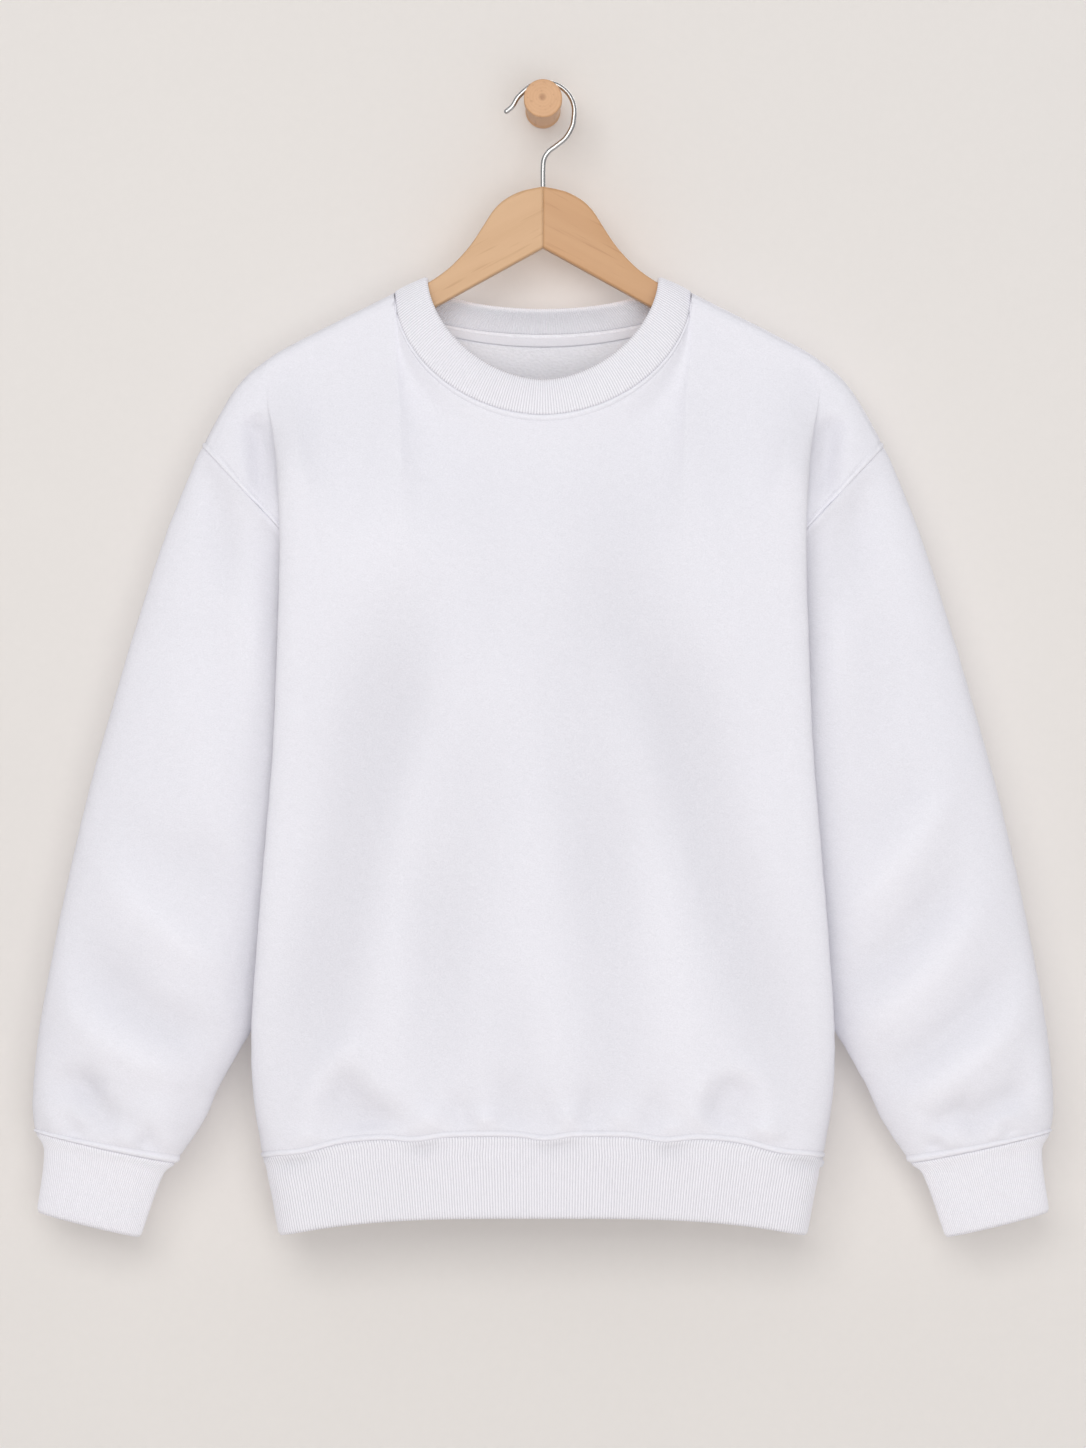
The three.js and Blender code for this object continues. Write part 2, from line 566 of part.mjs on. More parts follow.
// A closed line through points, read by its own length from 0 to 1
function closedLine(points) {
  const lengths = [0];
  points.forEach((p, i) => {
    lengths.push(lengths[i] + p.distanceTo(points[(i + 1) % points.length]));
  });
  const total = lengths[points.length];
  return (s) => {
    const at = (((s % 1) + 1) % 1) * total;
    let i = 0;
    while (i < points.length - 1 && lengths[i + 1] <= at) {
      i += 1;
    }
    const t = (at - lengths[i]) / (lengths[i + 1] - lengths[i]);
    return points[i].clone().lerp(points[(i + 1) % points.length], t);
  };
}

// Rings moved out along their normals by what `by(ring, point)` gives
function moved(rings, flip, by) {
  const normals = gridNormals(rings, true, flip);
  return rings.map((ring, j) => ring.map((p, i) => (
    p.clone().addScaledVector(normals[j][i], by(j, i))
  )));
}

// The garment's pieces

const places = columnPlaces();
const front = { rows: frontRows, neck: neck.front, folds: frontFolds, facing: -1 };
const back = { rows: backRows, neck: neck.back, folds: backFolds, facing: 1 };
front.outer = panelGrid(front, places);
front.inner = panelInside(front, front.outer, places);
back.outer = panelGrid(back, places);
back.inner = panelInside(back, back.outer, places);

function panelGeometry(panel) {
  return sheetWall(raiseSeams(panel, panel.outer, places), panel.inner, panel.facing > 0);
}

// Hem band: rings below the panels' lower edges, drawn in and gathered, with upright ribs
function hemGeometry() {
  const loop = (face) => closedLine([...front[face][0], ...back[face][0].slice().reverse()]);
  const ringsOf = (seam, count) => hemRows.map((row) => Array.from({ length: count }, (_, i) => {
    const p = seam(i / count);
    const foot = droop(hemBand, p.x * row.width);
    const z = mix(p.z - hemGap, foot, row.down);
    return new THREE.Vector3(p.x * row.width, p.y * row.depth, z);
  })).reverse();
  const atSeam = hemRows.length - 1;
  const ribOut = (j, i) => (j < atSeam && i % 2 ? hemBand.rib : 0);
  const outer = moved(ringsOf(loop('outer'), hemBand.ribs * 2), false, ribOut);
  return ringWall(outer, ringsOf(loop('inner'), insideColumns.hem), false);
}

// Collar: from the neck seam in to its free edge, front and back halves in one ring
function collarRing(count, across, face) {
  return Array.from({ length: count }, (_, i) => {
    const s = i / count * 2;
    const panel = s < 1 ? front : back;
    const turn = s < 1 ? mix(-1, 1, s) : mix(1, -1, s - 1);
    const u = turn * share.neck;
    const k = Math.max(0, places.findIndex((place) => place >= u - 1e-9) - 1);
    const between = (u - places[k]) / (places[k + 1] - places[k]);
    const edge = panel[face][panelRows.length - 1];
    const seam = edge[k].clone().lerp(edge[k + 1], between);
    const f = neckPoint(panel.neck.free, turn);
    const free = new THREE.Vector3(f.x, panel.facing * f.w, f.z);
    const gap = mix(collarGap.middle, collarGap.shoulder, turn * turn) / seam.distanceTo(free);
    const point = seam.clone().lerp(free, mix(gap, 1, across));
    const bulge = collarRibs.bulge * Math.sin(across * Math.PI);
    const level = Math.hypot(f.x / panel.neck.free.half, f.w / panel.neck.free.out);
    point.x += bulge * (f.x / panel.neck.free.half) / level;
    point.y += bulge * panel.facing * (f.w / panel.neck.free.out) / level;
    return point;
  });
}

function collarGeometry() {
  const ringsOf = (count) => collarRibs.rows.map((across) => collarRing(count, across, 'outer'));
  const ribOut = (j, i) => (j && i % 2 ? collarRibs.height : 0);
  const outer = moved(ringsOf(collarRibs.count * 2), false, ribOut);
  const inner = moved(ringsOf(insideColumns.collar), false, () => -ribThickness);
  inner[0] = collarRing(insideColumns.collar, 0, 'inner');
  return ringWall(outer, inner, false);
}

// Neck tape: the top of the back panel's inner face moved off it, from shoulder to shoulder
function tapeGeometry() {
  const first = places.findIndex((u) => u > -share.neck * tapeEnd - 1e-9);
  const last = places.length - 1 - first;
  const rowsFrom = back.inner.length - tapeRows - 1;
  const rows = back.inner.slice(rowsFrom, rowsFrom + tapeRows);
  const face = rows.map((line) => line.slice(first, last + 1));
  const normals = gridNormals(face, false, false);
  const off = (by) => face.map((line, j) => line.map((p, i) => (
    p.clone().addScaledVector(normals[j][i], by)
  )));
  return sheetWall(off(seamGap + tapeThickness), off(seamGap), false);
}

// A sleeve or cuff ring: an oval across the line from the inner edge to the outer edge, rounder
// at the outer edge, with the folds of its front and the same ones shifted down its back
function sleeveRing(row, count, side, folds, inset) {
  const halfX = (row.outerX - row.innerX) / 2;
  const halfZ = (row.outerZ - row.innerZ) / 2;
  const half = Math.hypot(halfX, halfZ);
  return Array.from({ length: count }, (_, i) => {
    const angle = i / count * 2 * Math.PI;
    const c = Math.cos(angle);
    const s = Math.sin(angle);
    const round = c < 0 ? armhole.innerRound : armhole.outerRound;
    const across = Math.sign(c) * Math.abs(c) ** (2 / round) * (1 - inset / half);
    const out = Math.abs(s) ** (2 / round) * (row.out - inset);
    const x = (row.outerX + row.innerX) / 2 + across * halfX;
    const z = (row.outerZ + row.innerZ) / 2 + across * halfZ;
    const shift = s > 0 ? 0 : 14;
    const crease = foldHeight(folds, side * x, z + shift) * Math.abs(s) ** 1.5;
    return new THREE.Vector3(side * x, -Math.sign(s) * (out + crease), z);
  });
}

function sleeveGeometry(side, folds) {
  const rise = shoulderPoint.z - underarmPoint.z;
  const away = new THREE.Vector2(rise, underarmPoint.x - shoulderPoint.x).normalize();
  const rows = sleeveRows.map((row, j) => (j > 0 ? row : {
    ...row,
    outerX: row.outerX + away.x * seamGap,
    innerX: row.innerX + away.x * underarmGap,
    outerZ: row.outerZ + away.y * seamGap,
    innerZ: row.innerZ + away.y * underarmGap,
  }));
  const last = rows.length - 1;
  const foldsAt = (j) => (j > 0 && j < last ? folds : []);
  const rings = (inset) => rows.map((row, j) => (
    sleeveRing(row, sleeveSides, side, foldsAt(j), inset)
  ));
  return ringWall(rings(0), rings(fleeceThickness), side < 0);
}

function cuffGeometry(side) {
  const rings = (count, inset) => cuffRows.map((row) => sleeveRing(row, count, side, [], inset));
  const ribOut = (j, i) => (j && i % 2 ? cuffRibs.height : 0);
  const outer = moved(rings(cuffRibs.count * 2, 0), side < 0, ribOut);
  return ringWall(outer, rings(insideColumns.cuff, ribThickness), side < 0);
}

// The hanger, its hook and the peg

const wasm = await Module();
wasm.setup();

function toSolid(geometry) {
  const bare = geometry.clone();
  bare.deleteAttribute('normal');
  bare.deleteAttribute('uv');
  const merged = mergeVertices(bare, 1e-4);
  return new wasm.Manifold(new wasm.Mesh({
    numProp: 3,
    vertProperties: new Float32Array(merged.attributes.position.array),
    triVerts: new Uint32Array(merged.index.array),
  }));
}

function fromSolid(solid) {
  const mesh = solid.getMesh();
  const geometry = new THREE.BufferGeometry();
  geometry.setAttribute('position', new THREE.Float32BufferAttribute(mesh.vertProperties, 3));
  geometry.setIndex(Array.from(mesh.triVerts));
  geometry.computeVertexNormals();
  return geometry;
}

// One arm of the hanger: the whole board with the hook's socket drilled, cut at the mitre
function armGeometry(side) {
  const right = [...boardTop, ...boardUnder].map((p) => new THREE.Vector2(p.x, p.z));
  const left = right.slice(1, -1).reverse().map((p) => new THREE.Vector2(-p.x, p.y));
  const outline = new THREE.Shape([...right, ...left]);
  const flatDepth = board.thickness - 2 * board.edge;
  const blank = new THREE.ExtrudeGeometry(outline, {
    depth: flatDepth,
    bevelThickness: board.edge,
    bevelSize: board.edge,
    bevelOffset: -board.edge,
    bevelSegments: 2,
  });
  blank.translate(0, 0, -flatDepth / 2);
  blank.rotateX(Math.PI / 2);
  const bore = wireRadius + seamGap;
  const socket = new THREE.CylinderGeometry(bore, bore, socketDepth * 2, 12);
  socket.rotateX(Math.PI / 2);
  socket.translate(0, 0, boardTop[0].z);
  const cutWidth = 300;
  const cut = new THREE.BoxGeometry(cutWidth, cutWidth, cutWidth * 2);
  cut.translate(-side * (cutWidth / 2 - seamGap / 2), 0, boardTop[0].z);
  return fromSolid(toSolid(blank).subtract(toSolid(socket)).subtract(toSolid(cut)));
}

function hookGeometry() {
  const arc = [];
  const steps = 8;
  const from = THREE.MathUtils.degToRad(138);
  const to = THREE.MathUtils.degToRad(-12);
  for (let i = 0; i <= steps; i += 1) {
    const angle = mix(from, to, i / steps);
    arc.push({
      x: hookBend.x + hookBend.radius * Math.cos(angle),
      z: hookBend.z + hookBend.radius * Math.sin(angle),
    });
  }
  const stemEnd = { x: 0, z: boardTop[0].z - socketDepth + seamGap * 2 };
  const line = [...hookTip, ...arc, ...hookNeck, stemEnd];
  const stops = line.map((p) => new THREE.Vector3(p.x, 0, p.z));
  const path = new THREE.CatmullRomCurve3(stops, false, 'centripetal');
  const section = new THREE.Shape();
  for (let i = 0; i < wireSides; i += 1) {
    const angle = i / wireSides * 2 * Math.PI;
    const method = i ? 'lineTo' : 'moveTo';
    section[method](wireRadius * Math.cos(angle), wireRadius * Math.sin(angle));
  }
  const options = { steps: wireSteps, extrudePath: path, bevelEnabled: false };
  return new THREE.ExtrudeGeometry(section, options);
}

function pegGeometry() {
  const face = wallToHead + peg.headLength;
  const taperEnd = peg.footLength + peg.taperLength;
  const profile = [
    { radius: 0, out: 0 }, { radius: peg.footRadius, out: 0 },
    { radius: peg.footRadius, out: peg.footLength }, { radius: peg.neckRadius, out: taperEnd },
    { radius: peg.neckRadius, out: wallToHead },
    { radius: peg.headRadius - peg.edge, out: wallToHead },
    { radius: peg.headRadius, out: wallToHead + peg.edge },
    { radius: peg.headRadius, out: face - peg.edge },
    { radius: peg.headRadius - peg.edge, out: face }, { radius: 0, out: face },
  ];
  const geometry = new THREE.LatheGeometry(profile.map((p) => new THREE.Vector2(p.radius, p.out)), 24);
  geometry.rotateX(Math.PI);
  return geometry;
}

// The scene graph

function piece(name, geometry, look) {
  const mesh = new THREE.Mesh(geometry, new THREE.MeshStandardMaterial(look));
  mesh.name = name;
  return mesh;
}

const hung = new THREE.Group();
hung.position.set(0, hangerPlace.y, hangerPlace.z);
hung.add(
  piece('front_panel', panelGeometry(front), finish.fleece),
  piece('back_panel', panelGeometry(back), finish.fleece),
  piece('sleeve_right', sleeveGeometry(-1, rightSleeveFolds), finish.fleece),
  piece('sleeve_left', sleeveGeometry(1, leftSleeveFolds), finish.fleece),
  piece('cuff_right', cuffGeometry(-1), finish.rib),
  piece('cuff_left', cuffGeometry(1), finish.rib),
  piece('hem_band', hemGeometry(), finish.rib),
  piece('neck_rib', collarGeometry(), finish.rib),
  piece('neck_tape', tapeGeometry(), finish.fleece),
  piece('hanger_arm_right', armGeometry(-1), finish.beech),
  piece('hanger_arm_left', armGeometry(1), finish.beech),
  piece('hanger_hook', hookGeometry(), finish.steel),
);

const sweatshirt = new THREE.Group();
sweatshirt.add(hung, piece('wall_peg', pegGeometry(), finish.beech));

export default sweatshirt;
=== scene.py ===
# A crewneck sweatshirt on a wooden hanger, hung from a round peg in the wall.
# Shapes are worked out in millimetres in the hanger's own frame: x across (the wearer's left is
# plus), w out from the hanger's middle plane, z up from the peg's centre. onWall() places them.
import math

import bpy
import numpy as np
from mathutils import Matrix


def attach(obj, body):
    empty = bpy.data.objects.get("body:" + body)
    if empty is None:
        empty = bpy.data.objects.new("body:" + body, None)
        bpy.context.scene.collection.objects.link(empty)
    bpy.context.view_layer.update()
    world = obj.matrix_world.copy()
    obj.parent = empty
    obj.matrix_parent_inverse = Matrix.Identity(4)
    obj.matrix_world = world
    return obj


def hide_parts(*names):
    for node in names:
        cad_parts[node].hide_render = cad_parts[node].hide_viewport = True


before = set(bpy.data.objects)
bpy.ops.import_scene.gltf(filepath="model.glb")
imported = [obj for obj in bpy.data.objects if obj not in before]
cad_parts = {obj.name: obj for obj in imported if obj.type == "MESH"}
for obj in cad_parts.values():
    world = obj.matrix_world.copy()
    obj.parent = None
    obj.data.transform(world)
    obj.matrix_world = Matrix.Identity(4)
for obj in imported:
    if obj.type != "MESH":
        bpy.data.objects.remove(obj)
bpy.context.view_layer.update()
print("frame loaded")

garment = {
    "hangerY": -50,      # the hanger's middle plane, in front of the wall
    "hangerZ": 2.9,      # how far its frame stands over the peg's centre
    "fleece": 2.2,       # thickness of the body cloth
    "rib": 2.4,
    "tape": 1.0,
    "seamGap": 0.3,
}


# Helpers on whole arrays

def mix(a, b, t):
    return a + (b - a) * t


def smooth(t):
    c = np.clip(t, 0, 1)
    return c * c * (3 - 2 * c)


def bell(distance, width):
    return np.exp(-(distance / width) ** 2)


def tableValue(rows, column, at, key="v"):
    # a cubic through the rows of a table, with slopes from the rows on each side
    k = np.asarray(rows[key], float)
    y = np.asarray(rows[column], float)
    at = np.asarray(at, float)
    slopes = np.empty(len(k))
    slopes[1:-1] = (y[2:] - y[:-2]) / (k[2:] - k[:-2])
    slopes[0] = (y[1] - y[0]) / (k[1] - k[0])
    slopes[-1] = (y[-1] - y[-2]) / (k[-1] - k[-2])
    i = np.clip(np.searchsorted(k, at, side="left") - 1, 0, len(k) - 2)
    span = k[i + 1] - k[i]
    t = np.clip((at - k[i]) / span, 0, 1)
    rise = (2 * t**3 - 3 * t**2 + 1) * y[i] + (3 * t**2 - 2 * t**3) * y[i + 1]
    return rise + span * ((t**3 - 2 * t**2 + t) * slopes[i] + (t**3 - t**2) * slopes[i + 1])


def foldHeight(folds, x, z):
    # each row is a soft trough or ridge along a bent line: its height times a bell across the
    # line, wider on one side where it leans, and faded towards both ends
    height = np.zeros(np.broadcast(x, z).shape)
    for x0, z0, x1, z1, tall, width, bend, lean, fade in folds:
        dx, dz = x1 - x0, z1 - z0
        length = math.hypot(dx, dz)
        t = ((x - x0) * dx + (z - z0) * dz) / length**2
        off = ((x - x0) * dz - (z - z0) * dx) / length - bend * 4 * t * (1 - t)
        wide = 1.2 * width * np.where(off > 0, 1 + lean, 1 - lean)
        ends = smooth((t + fade) / (2 * fade)) * smooth((1 + fade - t) / (2 * fade))
        height += tall * bell(off, wide) * ends
    return height


def softWaves(x, z, size, seed):
    # a sum of long sine waves in many directions, about one high
    rng = np.random.default_rng(seed)
    total = np.zeros(np.broadcast(x, z).shape)
    for _ in range(9):
        angle = rng.uniform(0, math.pi)
        reach = size * rng.uniform(0.7, 1.5)
        phase = rng.uniform(0, 2 * math.pi)
        total += np.sin((x * math.cos(angle) + z * math.sin(angle)) * 2 * math.pi / reach + phase)
    return total / 3


def onWall(points):
    # millimetres in the hanger's frame to metres in the row's frame
    place = np.array([0, garment["hangerY"], garment["hangerZ"]])
    return (np.asarray(points, float) + place) / 1000


def gridNormals(grid, closeRows=False, closeColumns=False):
    # unit normals as the cross product of the steps along the columns and up the rows
    def step(axis, closed):
        if closed:
            return np.roll(grid, -1, axis) - np.roll(grid, 1, axis)
        return np.gradient(grid, axis=axis)
    normals = np.cross(step(1, closeColumns), step(0, closeRows))
    return normals / np.maximum(np.linalg.norm(normals, axis=2, keepdims=True), 1e-9)


def softNormals(normals, passes=3):
    # each normal is averaged with its four neighbours, a few times over
    for _ in range(passes):
        padded = np.pad(normals, ((1, 1), (1, 1), (0, 0)), "edge")
        normals = padded[:-2, 1:-1] + padded[2:, 1:-1] + padded[1:-1, :-2] + padded[1:-1, 2:]
        normals = normals / np.maximum(np.linalg.norm(normals, axis=2, keepdims=True), 1e-9)
    return normals


def gridFaces(rows, columns, closeRows=False, closeColumns=False, flip=False, start=0):
    # quads between neighbouring rows and columns of a grid of points
    j = np.arange(rows if closeRows else rows - 1)[:, None]
    i = np.arange(columns if closeColumns else columns - 1)[None, :]
    j2, i2 = (j + 1) % rows, (i + 1) % columns
    corners = [j * columns + i, j * columns + i2, j2 * columns + i2, j2 * columns + i]
    if flip:
        corners.reverse()
    return np.stack([np.broadcast_to(c, (j.size, i.size)) for c in corners], -1).reshape(-1, 4) + start


def meshFrom(name, points, quads, materials, kinds=None, uv=None, caps=(), paintedShading=None):
    # a mesh from an array of points and one of quads; caps are single faces over open ends, and
    # the last argument is shade painted into the cloth's colour at each point: below 0 a painted highlight on a
    # ridge, up to 1 painted shade between ribs or in a seam
    mesh = bpy.data.meshes.new(name)
    points = onWall(points)
    loops = np.concatenate([quads.ravel(), *[np.asarray(c) for c in caps]]).astype(np.int32)
    sizes = np.concatenate([np.full(len(quads), 4), [len(c) for c in caps]]).astype(np.int32)
    mesh.vertices.add(len(points))
    mesh.vertices.foreach_set("co", points.astype(np.float32).ravel())
    mesh.loops.add(len(loops))
    mesh.loops.foreach_set("vertex_index", loops)
    mesh.polygons.add(len(sizes))
    mesh.polygons.foreach_set("loop_start", (np.cumsum(sizes) - sizes).astype(np.int32))
    mesh.polygons.foreach_set("loop_total", sizes)
    mesh.polygons.foreach_set("use_smooth", np.ones(len(sizes), bool))
    if kinds is not None:
        mesh.polygons.foreach_set("material_index", np.asarray(kinds, np.int32))
    if uv is not None:
        layer = mesh.uv_layers.new(name="cloth")
        layer.data.foreach_set("uv", uv[loops].astype(np.float32).ravel())
    if paintedShading is not None:
        depth = mesh.attributes.new("paintedShading", "FLOAT", "POINT")
        depth.data.foreach_set("value", np.clip(0.2 + 0.8 * paintedShading, 0, 1).astype(np.float32).ravel())
    mesh.update(calc_edges=True)
    mesh.validate()
    for material in materials:
        mesh.materials.append(material)
    piece = bpy.data.objects.new(name, mesh)
    bpy.context.scene.collection.objects.link(piece)
    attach(piece, "root")
    return piece


def sheetShell(name, outer, inner, materials, flip, uv=None, paintedShading=None):
    # a wall between two open grids, closed along its four edges
    rows, columns = outer.shape[:2]
    many = rows * columns
    faceOut = gridFaces(rows, columns, flip=flip)
    faceIn = gridFaces(rows, columns, flip=not flip, start=many)
    edge = np.concatenate([
        np.arange(columns), np.arange(1, rows) * columns + columns - 1,
        (rows - 1) * columns + np.arange(columns - 2, -1, -1), np.arange(rows - 2, 0, -1) * columns,
    ])
    ahead = np.roll(edge, -1)
    rim = np.stack([edge, edge + many, ahead + many, ahead], -1)
    if flip:
        rim = rim[:, ::-1]
    quads = np.concatenate([faceOut, faceIn, rim])
    kinds = np.concatenate([np.zeros(len(faceOut)), np.ones(len(faceIn)), np.zeros(len(rim))])
    points = np.concatenate([outer.reshape(-1, 3), inner.reshape(-1, 3)])
    both = None if uv is None else np.concatenate([uv.reshape(-1, 2)] * 2)
    # the inner face gets -0.25 everywhere: painted light that lightens it
    depth = None if paintedShading is None else np.concatenate([paintedShading.ravel(), np.full(many, -0.25)])
    return meshFrom(name, points, quads, materials, kinds, both, (), depth)


def tubeShell(name, outer, inner, materials, flip, paintedShading=None):
    # a tube's wall between two stacks of closed rings, closed over both free edges; the shade and
    # highlight painted into the colour is given for the outer rings and then the inner ones
    grid = np.concatenate([outer, inner[::-1]])
    rows, columns = grid.shape[:2]
    quads = gridFaces(rows, columns, True, True, flip)
    ringOf = np.repeat(np.arange(rows), columns)
    kinds = ((ringOf >= len(outer)) & (ringOf < rows - 1)).astype(int)
    if paintedShading is not None:
        paintedShading = np.concatenate([paintedShading[0], paintedShading[1][::-1]])
    return meshFrom(name, grid.reshape(-1, 3), quads, materials, kinds, None, (), paintedShading)


def closedLine(points):
    # reads a closed line of points by its own length, from 0 to 1
    loop = np.concatenate([points, points[:1]])
    length = np.concatenate([[0], np.cumsum(np.linalg.norm(np.diff(loop, axis=0), axis=1))])
    return lambda s: np.stack([np.interp(s * length[-1], length, loop[:, k]) for k in range(3)], -1)


def openLine(points, pitch):
    # points along an open line at an even pitch
    length = np.concatenate([[0], np.cumsum(np.linalg.norm(np.diff(points, axis=0), axis=1))])
    count = max(2, int(length[-1] / pitch))
    at = (np.arange(count) + 0.5) / count * length[-1]
    return at, np.stack([np.interp(at, length, points[:, k]) for k in range(points.shape[1])], -1)


def ribWave(place, height):
    # upright knitted ribs: round tops and narrow valleys, for a place counted in ribs
    off = np.abs(place - np.round(place)) * 2
    return height * (1 - off**2.6)


# Materials

def nodesOf(name):
    material = bpy.data.materials.new(name)
    material.use_nodes = True
    nodes = material.node_tree.nodes
    return material, nodes, material.node_tree.links, nodes["Principled BSDF"]


def noiseNode(nodes, links, source, scale, stretch=(1, 1, 1), detail=3, turn=(0, 0, 0)):
    mapping = nodes.new("ShaderNodeMapping")
    mapping.vector_type = "TEXTURE"     # turned first and stretched after
    mapping.inputs["Scale"].default_value = [1 / k for k in stretch]
    mapping.inputs["Rotation"].default_value = turn
    links.new(source, mapping.inputs["Vector"])
    noise = nodes.new("ShaderNodeTexNoise")
    noise.inputs["Scale"].default_value = scale
    noise.inputs["Detail"].default_value = detail
    links.new(mapping.outputs["Vector"], noise.inputs["Vector"])
    return noise.outputs["Fac"]


def rampNode(nodes, links, source, stops):
    ramp = nodes.new("ShaderNodeValToRGB")
    while len(ramp.color_ramp.elements) < len(stops):
        ramp.color_ramp.elements.new(0.5)
    for element, (place, colour) in zip(ramp.color_ramp.elements, stops):
        element.position = place
        element.color = (*colour, 1)
    links.new(source, ramp.inputs["Fac"])
    return ramp.outputs["Color"]


def mixNode(nodes, links, a, b, share, blend="MIX"):
    node = nodes.new("ShaderNodeMix")
    node.data_type = "RGBA"
    node.blend_type = blend
    node.inputs[0].default_value = share
    links.new(a, node.inputs[6])
    links.new(b, node.inputs[7])
    return node.outputs[2]


def bumpNode(nodes, links, height, distance, strength, under=None):
    bump = nodes.new("ShaderNodeBump")
    bump.inputs["Distance"].default_value = distance
    bump.inputs["Strength"].default_value = strength
    links.new(height, bump.inputs["Height"])
    if under is not None:
        links.new(under, bump.inputs["Normal"])
    return bump.outputs["Normal"]


cloths = {
    # colour, fuzz size in 1/m, bump of the fuzz in metres, sheen
    "fleeceFace": {"colour": (0.886, 0.880, 0.934), "fuzz": 800, "bump": 0.00032, "sheen": 0.12},
    # the inside fleece is paler than the face, in part as painted light that brightens the inside of the neck
    "fleeceInside": {"colour": (0.955, 0.945, 0.990), "fuzz": 420, "bump": 0.0010, "sheen": 0.2},
    "ribKnit": {"colour": (0.930, 0.920, 0.968), "fuzz": 1100, "bump": 0.00016, "sheen": 0.1},
    "neckTwill": {"colour": (0.900, 0.888, 0.935), "fuzz": 1300, "bump": 0.00010, "sheen": 0.08},
    "sewingThread": {"colour": (0.900, 0.888, 0.935), "fuzz": 2500, "bump": 0.00005, "sheen": 0.05},
}


def clothMaterial(name):
    # cloth colour with faint cross-wise streaks and soft mottling, over a fuzzy bump
    look = cloths[name]
    material, nodes, links, shader = nodesOf(name)
    source = nodes.new("ShaderNodeTexCoord").outputs["Object"]
    streak = noiseNode(nodes, links, source, 150, (1, 1, 3.2), 3, (0, 0.35, 0))
    cloud = noiseNode(nodes, links, source, 9, (1, 1, 1), 3)
    fuzz = noiseNode(nodes, links, source, look["fuzz"], (1, 1, 1.6), 2)
    colour = np.array(look["colour"])
    pale = tuple(np.minimum(colour * 1.03, 1))
    deep = tuple(colour * 0.955)
    streaked = rampNode(nodes, links, streak, [(0.3, deep), (0.7, pale)])
    clouded = rampNode(nodes, links, cloud, [(0.3, tuple(colour * 0.975)), (0.7, tuple(colour * 1.012))])
    fuzzed = rampNode(nodes, links, fuzz, [(0.25, tuple(colour * 0.88)), (0.75, tuple(colour * 1.04))])
    base = mixNode(nodes, links, streaked, clouded, 0.5)
    base = mixNode(nodes, links, base, fuzzed, 0.5)
    # painted shade and highlight: the point attribute darkens the colour between ribs, in seams, fold troughs and
    # under the hem seam, and lightens it on seam ridges and inner faces
    depth = nodes.new("ShaderNodeAttribute")
    depth.attribute_name = "paintedShading"
    stops = [(0, (1, 1, 1)), (0.2, (0.95, 0.95, 0.952)), (1, (0.70, 0.698, 0.704))]
    shade = rampNode(nodes, links, depth.outputs["Fac"], stops)
    base = mixNode(nodes, links, base, shade, 1, "MULTIPLY")
    links.new(base, shader.inputs["Base Color"])
    shader.inputs["Roughness"].default_value = 0.95
    shader.inputs["Specular IOR Level"].default_value = 0.15
    shader.inputs["Sheen Weight"].default_value = look["sheen"]
    shader.inputs["Sheen Roughness"].default_value = 0.6
    shader.inputs["Sheen Tint"].default_value = (0.96, 0.95, 1, 1)
    normal = bumpNode(nodes, links, fuzz, look["bump"], 0.6)
    normal = bumpNode(nodes, links, streak, 0.0004, 0.25, normal)
    links.new(normal, shader.inputs["Normal"])
    return material


woods = {
    # pale, middle and dark of the grain
    "beechArmRight": [(0.705, 0.455, 0.262), (0.645, 0.402, 0.222), (0.580, 0.345, 0.182)],
    "beechArmLeft": [(0.650, 0.385, 0.202), (0.595, 0.338, 0.170), (0.525, 0.285, 0.136)],
    "beechPeg": [(0.690, 0.410, 0.225), (0.630, 0.360, 0.190), (0.560, 0.305, 0.152)],
}


